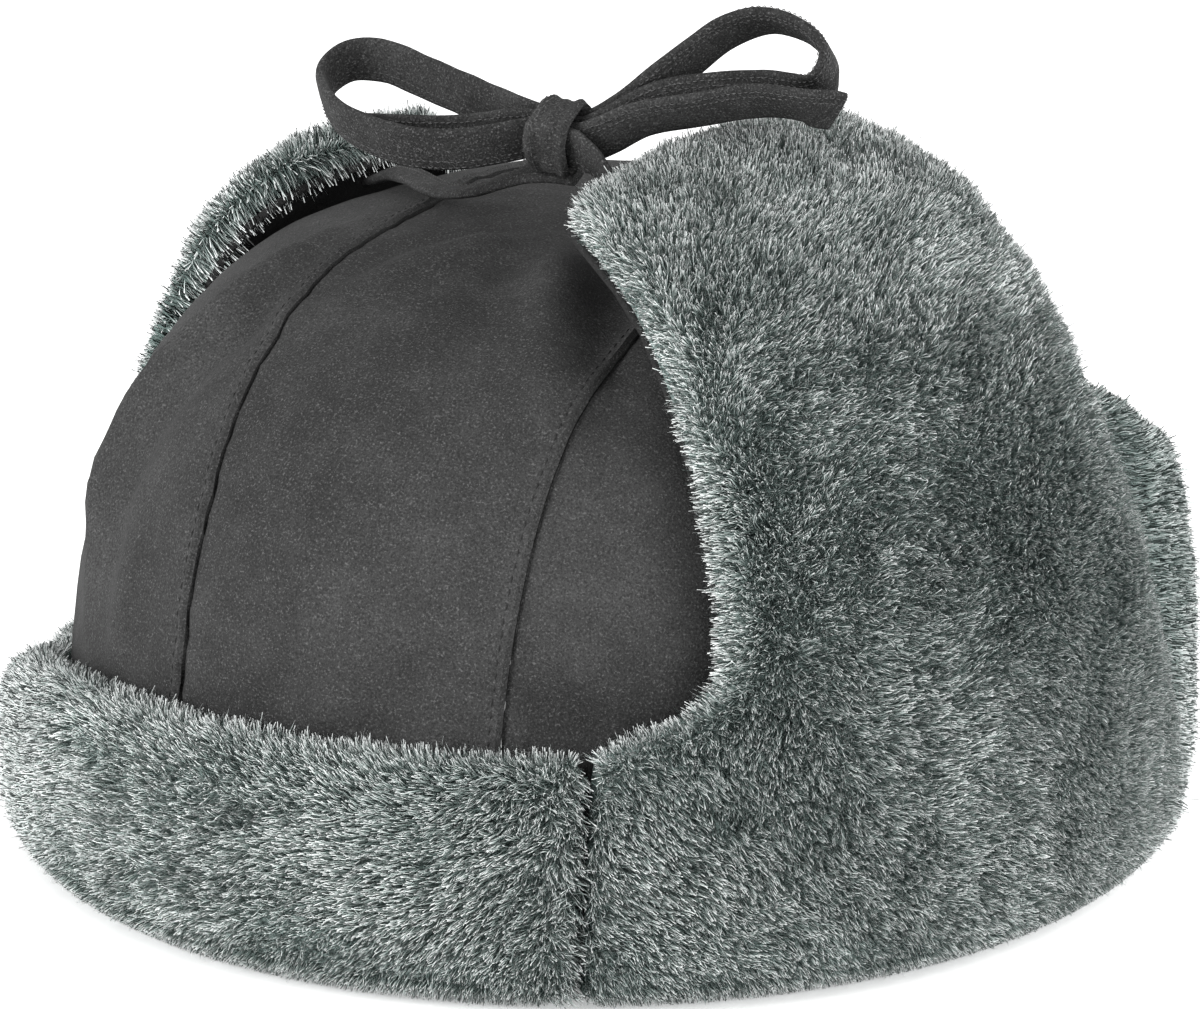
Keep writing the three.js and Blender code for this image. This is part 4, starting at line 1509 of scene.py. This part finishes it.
@dataclass
class FlapBack:
    """The cloth behind a flap's pile."""

    name: str
    node: str
    dips: tuple[Dip, ...] = ()

    def build(self, source: bpy.types.Object, finish: bpy.types.Material) -> None:
        """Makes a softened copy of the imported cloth.

        Args:
            source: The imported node.
            finish: Its cloth.
        """
        piece = bpy.data.objects.new(self.name, source.data.copy())
        piece.data.materials.clear()
        bpy.context.collection.objects.link(piece)
        apply_modifier(piece, "WELD", {"merge_threshold": 1e-5})
        rounding = {"width": 0.5 * MM, "segments": 2, "limit_method": "ANGLE", "angle_limit": 0.9}
        apply_modifier(piece, "BEVEL", rounding)
        points = np.empty(len(piece.data.vertices) * 3)
        piece.data.vertices.foreach_get("co", points)
        points = points.reshape(-1, 3) / MM
        for dip in self.dips:
            points = dip.lower(points)
        piece.data.vertices.foreach_set("co", (points * MM).ravel())
        shade_smooth(piece, 40.0)
        dress(piece, "flap_cloth", [self.node], finish)


SUNK_PILE = Dip((-96, -38, 30), 34, 7.0)
SUNK_CLOTH = Dip((-96, -38, 30), 34, 8.5)
LEFT_FRONT = Joint(28.0, 40.0)
LEFT_REAR = Joint(103.0, 20.0)
RIGHT_FRONT = Joint(-84.0, 24.0)
RIGHT_REAR = Joint(-143.0, 20.0)


@dataclass
class FurFlaps:
    """All the flaps: their pile and the cloth behind it."""

    coats: tuple[PileCoat, ...] = (
        PileCoat(
            "left_flap_pile",
            "left_ear_flap_fur",
            hairs=338000,
            locks=10000,
            parts=3,
            seed=21,
            partings=(
                Parting((78, 18, 99), (88, 30, 66), 1.2, 0.95),
                Parting((92, 18, 72), (93, 20, 64), 1.0, 0.7),
                Parting((98, 28, 24), (97, 22, 15), 1.2, 0.8),
                Parting((103, 12, 26), (103, 10, 18), 1.0, 0.6),
                Parting((51, -107, 33), (52, -108, 26), 1.1, 0.8),
            ),
            combs=(
                Comb((63, -90, 58), (-0.45, -0.2, 0.0), 15),
                Comb((58, -82, 82), (-0.45, -0.2, 0.0), 15),
                Comb((42, -68, 104), (-0.45, -0.25, 0.0), 15),
                Comb((22, -50, 120), (-0.5, -0.2, 0.0), 14),
                Comb((80, -30, 78), (0.0, -0.42, 0.12), 30),
                Comb((90, 5, 62), (0.0, -0.62, 0.14), 46),
                Comb((98, 20, 30), (0.0, -0.55, 0.2), 34),
                Comb((60, -102, 22), (0.3, 0.1, -0.2), 24),
            ),
            joints=(LEFT_FRONT, LEFT_REAR),
        ),
        PileCoat(
            "front_flap_pile",
            "front_flap_fur",
            hairs=150000,
            locks=7000,
            seed=31,
            partings=(
                Parting((-38, -113, 16), (-22, -118, 12), 2.0, 0.6),
                Parting((-20, -118, 34), (-8, -119, 31), 2.2, 0.6),
                Parting((4, -119, 33), (16, -117, 34), 2.0, 0.5),
                Parting((-52, -105, 33), (-42, -110, 31), 2.0, 0.55),
                Parting((-72, -90, 20), (-60, -100, 16), 1.8, 0.5),
                Parting((-4, -120, 14), (8, -119, 11), 1.6, 0.45),
            ),
            combs=(
                Comb((30, -114, 22), (-0.5, -0.05, -0.15), 22),
                Comb((-30, -114, 38), (0.0, 0.1, 0.45), 24),
                Comb((10, -117, 36), (-0.3, 0.0, 0.2), 22),
                Comb((-80, -84, 22), (-0.35, 0.3, 0.1), 30),
            ),
            swell=0.75,
            dips=(SUNK_PILE,),
            joints=(LEFT_FRONT, RIGHT_FRONT),
        ),
        PileCoat(
            "right_flap_pile",
            "right_ear_flap_fur",
            hairs=102000,
            locks=4000,
            seed=51,
            hair_width=0.18,
            lock_width=0.21,
            fringe=5.0,
            dips=(SUNK_PILE,),
            joints=(RIGHT_FRONT, RIGHT_REAR),
        ),
        PileCoat(
            "neck_flap_pile",
            "neck_flap_fur",
            hairs=102000,
            locks=4000,
            seed=61,
            hair_width=0.18,
            lock_width=0.21,
            shadows=(
                Shadow((105, 24, 32), 9, 0.5),
                Shadow((104, 23, 45), 11, 0.6),
                Shadow((102, 21, 60), 12, 0.6),
                Shadow((97, 19, 75), 12, 0.6),
                Shadow((90, 17, 88), 11, 0.6),
                Shadow((96, 62, 60), 50, 0.45),
            ),
            joints=(LEFT_REAR, RIGHT_REAR),
        ),
    )
    backs: tuple[FlapBack, ...] = (
        FlapBack("left_flap_back", "left_ear_flap_cloth"),
        FlapBack("front_flap_back", "front_flap_cloth", (SUNK_CLOTH,)),
        FlapBack("right_flap_back", "right_ear_flap_cloth", (SUNK_CLOTH,)),
        FlapBack("neck_flap_back", "neck_flap_cloth"),
    )

    def build(self, nodes: dict[str, bpy.types.Object]) -> None:
        """Makes the pile and the backs.

        Args:
            nodes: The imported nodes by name.
        """
        ground, hair, cloth = SKIN.build(), HAIR.build(), BACKING.build()
        for coat in self.coats:
            coat.build(nodes[coat.node], ground, hair)
        for back in self.backs:
            back.build(nodes[back.node], cloth)


# Ties


Path = tuple[tuple[float, float, float, float], ...]

LEFT_LOOP: Path = (
    (-0.015, 0.034, 0.016, 25), (-0.09, 0.034, 0.016, 25), (-0.2, 0.07, 0.024, 20),
    (-0.39, 0.13, 0.04, 10), (-0.63, 0.2, 0.075, 6), (-0.85, 0.24, 0.11, 10),
    (-0.96, 0.2, 0.1, 20), (-1, 0.11, 0.05, 30), (-0.94, 0, 0, 30),
    (-0.81, -0.1, -0.047, 24), (-0.66, -0.155, -0.072, 20), (-0.5, -0.18, -0.084, 20),
    (-0.33, -0.16, -0.075, 22), (-0.18, -0.09, -0.042, 25), (-0.085, -0.04, -0.019, 25),
    (-0.015, -0.034, -0.016, 25),
)
RIGHT_LOOP: Path = (
    (0.016, 0.037, 0.017, 25), (0.11, 0.039, 0.02, 25), (0.22, 0.075, 0.09, 24),
    (0.35, 0.14, 0.22, 28), (0.45, 0.21, 0.325, 34), (0.55, 0.265, 0.415, 42),
    (0.7, 0.29, 0.475, 50), (0.89, 0.26, 0.455, 52), (1, 0.21, 0.385, 52),
    (0.995, 0.185, 0.305, 48), (0.93, 0.19, 0.25, 34), (0.763, 0.2, 0.222, 16),
    (0.583, 0.157, 0.196, 10), (0.374, 0.085, 0.15, 14), (0.2, 0.02, 0.045, 22),
    (0.11, 0, 0.002, 25), (0.016, 0, 0, 25),
)
LEFT_TAIL: Path = (
    (-0.02, 0, 0, 25), (-0.16, 0, 0, 25), (-0.53, 0, -0.085, 20),
    (-0.77, -0.015, -0.115, 18), (-1, -0.04, -0.13, 18),
)
RIGHT_TAIL: Path = (
    (0.015, -0.036, -0.0165, 25), (0.105, -0.036, -0.0165, 25), (0.19, -0.03, 0.02, 28),
    (0.315, 0, 0.09, 36), (0.51, 0.09, 0.138, 42), (0.775, 0.05, 0.212, 40),
    (0.95, 0.05, 0.215, 40), (1.03, 0.14, 0.19, 40),
)
LEFT_LEAD: Path = (
    (0.02, -0.132, -0.062, 25), (0.19, -0.134, -0.066, 25), (0.29, -0.15, -0.11, 30),
    (0.42, -0.13, -0.21, 50), (0.62, -0.06, -0.39, 85), (0.85, -0.04, -0.5, 90),
    (1.1, -0.04, -0.52, 90),
)
RIGHT_LEAD: Path = (
    (0.1, 0.09, -0.29, 115), (-0.2, 0.09, -0.31, 112), (-0.45, 0.13, -0.41, 100),
    (-0.75, 0.22, -0.54, 92), (-1.05, 0.36, -0.615, 90), (-1.54, 0.81, -0.665, 90),
    (-1.84, 1.11, -0.73, 90), (-2.23, 1.54, -0.904, 90),
)
KNOT: tuple[float, float, float] = (0.0, -26.0, 130.5)


class StitchedEdge(Enum):
    """The edge of a strap that carries its two rows of stitches."""

    LOWER = -1
    UPPER = 1


@dataclass(frozen=True)
class Fray:
    """Loose threads at a strap's raw end, in millimetres and slopes."""

    threads: int = 90
    across: float = 4.0
    out: float = 0.6
    stray: float = 0.35
    length: tuple[float, float] = (0.5, 1.6)
    radius: tuple[float, float] = (0.05, 0.1)
    rooted: float = 0.4
    curl: float = 0.12

    def add(self, soup: Soup, middle: Array, across: Array, out: Array, rng: np.random.Generator) -> None:
        """Adds the threads.

        Args:
            soup: The strap's mesh.
            middle: The strap's centreline.
            across: Its directions across.
            out: Its directions off the face.
            rng: Source of small differences.
        """
        along = unit(middle[-1:] - middle[-2:-1])[0]
        wide, off = across[-1], out[-1]
        for _ in range(self.threads):
            start = middle[-1] + wide * rng.uniform(-self.across, self.across)
            start = start + off * rng.uniform(-self.out, self.out)
            way = unit((along + wide * rng.normal(0, self.stray) + off * rng.normal(0, self.stray))[None])[0]
            length, radius = rng.uniform(*self.length), rng.uniform(*self.radius)
            side = unit(np.cross(way, off)[None])[0] * radius
            lift = unit(np.cross(way, side)[None])[0] * radius
            base = start - way * self.rooted
            tip = start + way * length + wide * rng.normal(0, self.curl)
            points = np.stack([base + side, base - side * 0.5 + lift, base - side * 0.5 - lift, tip])
            soup.add(points, [[0, 1, 3], [1, 2, 3], [2, 0, 3], [2, 1, 0]])


@dataclass
class TieStrap:
    """A flat sewn strap that follows a path from the knot."""

    name: str
    node: str
    path: Path
    reach: float
    edge: StitchedEdge = StitchedEdge.LOWER
    fray: Fray | None = None
    width: float = 8.4
    thickness: float = 2.0
    steps: int = 90
    uneven: float = 0.02
    stitch: StitchRow = StitchRow(0.75, 0.5, 0.11)
    stitch_insets: tuple[float, float] = (0.95, 2.15)
    stitch_height: float = 0.97

    def centreline(self) -> tuple[Array, Array, Array]:
        """The middle of the strap, and its directions across and out.

        Returns:
            Points, directions across the strap, and directions off its face.
        """
        rows = np.array(self.path, dtype=float)
        places = rows[:, :3] * self.reach + np.array(KNOT)
        shares = np.linspace(0, 1, self.steps + 1)
        points = np.stack([self.curve(places, share) for share in shares])
        along = unit(np.gradient(points, axis=0))
        lean = np.radians(np.interp(shares * (len(rows) - 1), np.arange(len(rows)), rows[:, 3]))
        across = np.stack([np.zeros_like(lean), -np.sin(lean), np.cos(lean)], axis=1)
        across = unit(across - along * np.sum(across * along, axis=1)[:, None])
        return points, across, unit(np.cross(along, across))

    @staticmethod
    def curve(places: Array, share: float) -> Array:
        """A point on the smooth curve through the path's places.

        Args:
            places: The places.
            share: How far along the path, from 0 to 1.

        Returns:
            The point.
        """
        last = len(places) - 1
        part = min(int(share * last), last - 1)
        t = share * last - part
        p1, p2 = places[part], places[part + 1]
        p0 = places[part - 1] if part > 0 else 2 * places[0] - places[1]
        p3 = places[part + 2] if part + 2 <= last else 2 * places[last] - places[last - 1]
        steps = (p1 - p0, p2 - p1, p3 - p2)
        d0, d1, d2 = (max(float(np.sum(step**2)) ** 0.25, 1e-4) for step in steps)
        t1 = ((p1 - p0) / d0 - (p2 - p0) / (d0 + d1) + (p2 - p1) / d1) * d1
        t2 = ((p2 - p1) / d1 - (p3 - p1) / (d1 + d2) + (p3 - p2) / d2) * d1
        c2, c3 = -3 * p1 + 3 * p2 - 2 * t1 - t2, 2 * p1 - 2 * p2 + t1 + t2
        return p1 + t1 * t + c2 * t * t + c3 * t**3

    def section(self) -> Array:
        """The strap's rounded section, as shares of its half width and half thickness."""
        turns = np.linspace(0, 2 * math.pi, 20, endpoint=False)
        flat = np.sign(np.cos(turns)) * np.abs(np.cos(turns)) ** 0.32
        thick = np.sign(np.sin(turns)) * np.abs(np.sin(turns)) ** 0.75
        return np.stack([flat, thick], axis=1)

    def build(self, finish: bpy.types.Material, thread: Soup, rng: np.random.Generator) -> None:
        """Makes the strap and adds its stitches to the thread.

        Args:
            finish: Its cloth.
            thread: The mesh that the stitches go to.
            rng: Source of small differences.
        """
        middle, across, out = self.centreline()
        section = self.section()
        wave = Ripple(9, 90 + len(self.path)).at(middle)
        half = self.width / 2 * (1 + self.uneven * wave[:, 0])
        rows = []
        for place, side, face, reach, dent in zip(middle, across, out, half, wave[:, 1]):
            edge = 0.72 + 0.28 * (1 - np.abs(section[:, 0]) ** 4) + 0.05 * dent
            lift = section[:, 1:] * self.thickness / 2 * edge[:, None]
            rows.append(place + side * (section[:, :1] * reach) + face * lift)
        count = len(section)
        faces = grid_faces(len(rows), count, around=True)
        start = list(range(count))
        end = [(len(rows) - 1) * count + k for k in range(count)]
        soup = Soup()
        soup.add(np.concatenate(rows), faces + [start[::-1], end])
        if self.fray:
            self.fray.add(soup, middle, across, out, rng)
        piece = soup.mesh(self.name)
        face_outwards(piece)
        shade_smooth(piece, 55.0)
        dress(piece, "strap", [self.node], finish)
        for inset in self.stitch_insets:
            offset = self.edge.value * (self.width / 2 - inset)
            for face in (1, -1):
                line = middle + across * offset + out * (face * self.thickness / 2 * self.stitch_height)
                self.stitch.lay(thread, line, out * face, rng)


@dataclass
class BowKnot:
    """The strap wrapped round the middle of the bow."""

    name: str = "bow_wrap"
    node: str = "bow_knot"
    length: float = 9.0
    depth: float = 11.1
    width: float = 12.8
    lean: float = 25.0
    wall: float = 1.5
    back: float = 0.95
    rows: int = 27
    steps: int = 72
    stitch: StitchRow = StitchRow(0.95, 0.6, 0.12)
    stitched: tuple[int, int] = (2, 5)
    stitch_clear: float = 0.02

    def ring(self, share: float, turns: Array) -> tuple[Array, Array]:
        """One ring of the knot.

        Args:
            share: Where it stands along the knot, from -1 to 1.
            turns: Angles round the ring.

        Returns:
            Its points, and its outward directions.
        """
        lean = math.radians(self.lean)
        deep = np.array([0.0, math.cos(lean), math.sin(lean)])
        high = np.array([0.0, -math.sin(lean), math.cos(lean)])
        centre = np.array(KNOT) - deep * self.back
        pinch = 1 - 0.05 * (1 - share**2) + 0.02 * math.cos(share * 9)
        edge = -0.55 * max(abs(share) - 0.8, 0.0) / 0.2
        skew = 0.9 * np.sin(turns) + 0.5 * np.cos(turns)
        flat = np.sign(np.cos(turns)) * np.abs(np.cos(turns)) ** 0.62
        tall = np.sign(np.sin(turns)) * np.abs(np.sin(turns)) ** 0.62
        fold = 0.28 * np.cos(3 * turns + share * 2.4) + 0.16 * np.cos(7 * turns - share * 3)
        reach = (self.depth / 2 + fold + edge)[:, None] * pinch
        rise = (self.width / 2 + fold * 0.8 + edge)[:, None] * pinch
        points = centre + deep * flat[:, None] * reach + high * tall[:, None] * rise
        points[:, 0] += share * (self.length / 2 - 0.35) + skew * 0.75
        return points, unit(deep * flat[:, None] + high * tall[:, None])

    def build(self, finish: bpy.types.Material, thread: Soup, rng: np.random.Generator) -> None:
        """Makes the knot and adds its stitches to the thread.

        Args:
            finish: Its cloth.
            thread: The mesh that the stitches go to.
            rng: Source of small differences.
        """
        turns = np.linspace(0, 2 * math.pi, self.steps, endpoint=False)
        rings = [self.ring(share, turns) for share in np.linspace(-1, 1, self.rows)]
        points = np.concatenate([ring[0] for ring in rings])
        soup = Soup()
        soup.add(points, [face[::-1] for face in grid_faces(self.rows, self.steps, around=True)])
        piece = soup.mesh(self.name)
        face_outwards(piece)
        apply_modifier(piece, "SOLIDIFY", {"thickness": self.wall * MM, "offset": -1.0})
        shade_smooth(piece, 60.0)
        dress(piece, "strap", [self.node], finish)
        for row in self.stitched:
            line, normals = rings[row]
            self.stitch.lay(thread, line + normals * self.stitch_clear, normals, rng)


@dataclass
class Ties:
    """The bow: its knot, loops and tails, and the leads from the flap tips."""

    straps: tuple[TieStrap, ...] = (
        TieStrap("bow_loop_left", "bow_left_loop", LEFT_LOOP, 50.0, StitchedEdge.LOWER),
        TieStrap("bow_loop_right", "bow_right_loop", RIGHT_LOOP, 46.0, StitchedEdge.UPPER),
        TieStrap("bow_tail_left", "bow_left_tail", LEFT_TAIL, 37.5, StitchedEdge.UPPER, steps=40),
        TieStrap(
            "bow_tail_right", "bow_right_tail", RIGHT_TAIL, 48.0, StitchedEdge.UPPER, fray=Fray(), steps=50
        ),
        TieStrap("tie_lead_left", "left_tie_lead", LEFT_LEAD, 26.0, steps=40),
        TieStrap("tie_lead_right", "right_tie_lead", RIGHT_LEAD, 26.0, steps=50, width=6.0),
    )
    knot: BowKnot = field(default_factory=BowKnot)

    def build(self) -> None:
        """Makes the straps, the knot and their stitches."""
        rng = np.random.default_rng(7)
        finish = TAPE.build()
        thread = Soup()
        for strap in self.straps:
            strap.build(finish, thread, rng)
        self.knot.build(finish, thread, rng)
        dress(thread.mesh("tie_stitches"), "strap", [], TAPE_STITCH.build())


# Studio


@dataclass(frozen=True)
class Lamp:
    """A soft square light that looks at the hat, in metres and watts."""

    name: str
    place: tuple[float, float, float]
    size: float
    power: float

    def build(self) -> None:
        """Hangs the light."""
        data = bpy.data.lights.new(self.name, "AREA")
        data.shape, data.size, data.energy = "SQUARE", self.size, self.power
        lamp = bpy.data.objects.new(self.name, data)
        lamp.location = self.place
        lamp.rotation_mode = "QUATERNION"
        lamp.rotation_quaternion = (Vector((0, 0, 0.06)) - Vector(self.place)).to_track_quat("-Z", "Y")
        bpy.context.collection.objects.link(lamp)


@dataclass
class Studio:
    """The camera, the floor and the lights."""

    azimuth: float = 26.1
    elevation: float = 15.42
    roll: float = 2.27
    distance: float = 1227.0
    sideways: float = -2.16
    height: float = 56.96
    lens: float = 203.3
    room: float = 0.75
    lamps: tuple[Lamp, ...] = (
        Lamp("key_light", (-1.1, -1.6, 0.75), 1.2, 35.0),
        Lamp("side_light", (1.8, -0.35, 0.75), 1.0, 17.0),
        Lamp("back_light", (1.1, 1.5, 0.8), 1.0, 22.0),
    )

    def camera(self) -> None:
        """Places the camera where the photograph was taken from."""
        a, e, r = (math.radians(v) for v in (self.azimuth, self.elevation, self.roll))
        back = Vector((math.sin(a) * math.cos(e), -math.cos(a) * math.cos(e), math.sin(e)))
        right = Vector((math.cos(a), math.sin(a), 0.0))
        up = back.cross(right)
        x = right * math.cos(r) + up * math.sin(r)
        y = up * math.cos(r) - right * math.sin(r)
        place = (Vector((0, 0, self.height)) + right * self.sideways + back * self.distance) * MM
        camera = bpy.data.objects.new("camera", bpy.data.cameras.new("camera"))
        camera.data.lens = self.lens
        camera.data.sensor_width = 36.0
        camera.data.clip_start, camera.data.clip_end = 0.05, 20.0
        turn = Matrix((x, y, back)).transposed().to_4x4()
        camera.matrix_world = Matrix.Translation(place) @ turn
        bpy.context.collection.objects.link(camera)
        bpy.context.scene.camera = camera

    def build(self) -> None:
        """Makes the camera, the floor, the lights and the room."""
        self.camera()
        bpy.ops.object.select_all(action="DESELECT")
        bpy.ops.mesh.primitive_plane_add(size=12.0, location=(0, 0, 0))
        floor = bpy.context.object
        floor.name = "floor"
        floor.data.materials.append(FLOOR.build())
        for lamp in self.lamps:
            lamp.build()
        self.surround()

    def surround(self) -> None:
        """Makes the room white to the camera, and a little dimmer to the hat."""
        world = bpy.data.worlds.new("white_room")
        world.use_nodes = True
        bpy.context.scene.world = world
        tree = world.node_tree
        tree.nodes.clear()
        shown, cast = (tree.nodes.new("ShaderNodeBackground") for _ in range(2))
        shown.inputs["Strength"].default_value = 1.0
        cast.inputs["Strength"].default_value = self.room
        for wall in (shown, cast):
            wall.inputs["Color"].default_value = (1.0, 1.0, 1.0, 1.0)
        seen, ending = tree.nodes.new("ShaderNodeLightPath"), tree.nodes.new("ShaderNodeOutputWorld")
        either = tree.nodes.new("ShaderNodeMixShader")
        tree.links.new(seen.outputs["Is Camera Ray"], either.inputs[0])
        tree.links.new(cast.outputs[0], either.inputs[1])
        tree.links.new(shown.outputs[0], either.inputs[2])
        tree.links.new(either.outputs[0], ending.inputs["Surface"])
        bpy.context.scene.view_settings.view_transform = "Standard"


def main() -> None:
    """Builds the hat in order."""
    logging.basicConfig(level=logging.INFO, format="%(name)s: %(message)s")
    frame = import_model()
    bpy.ops.object.select_all(action="DESELECT")
    builders: list[Callable[[], None]] = [
        Studio().build,
        Crown().build,
        lambda: FurFlaps().build(frame["nodes"]),
        Ties().build,
    ]
    for build in builders:
        build()


if __name__ == "__main__":
    main()
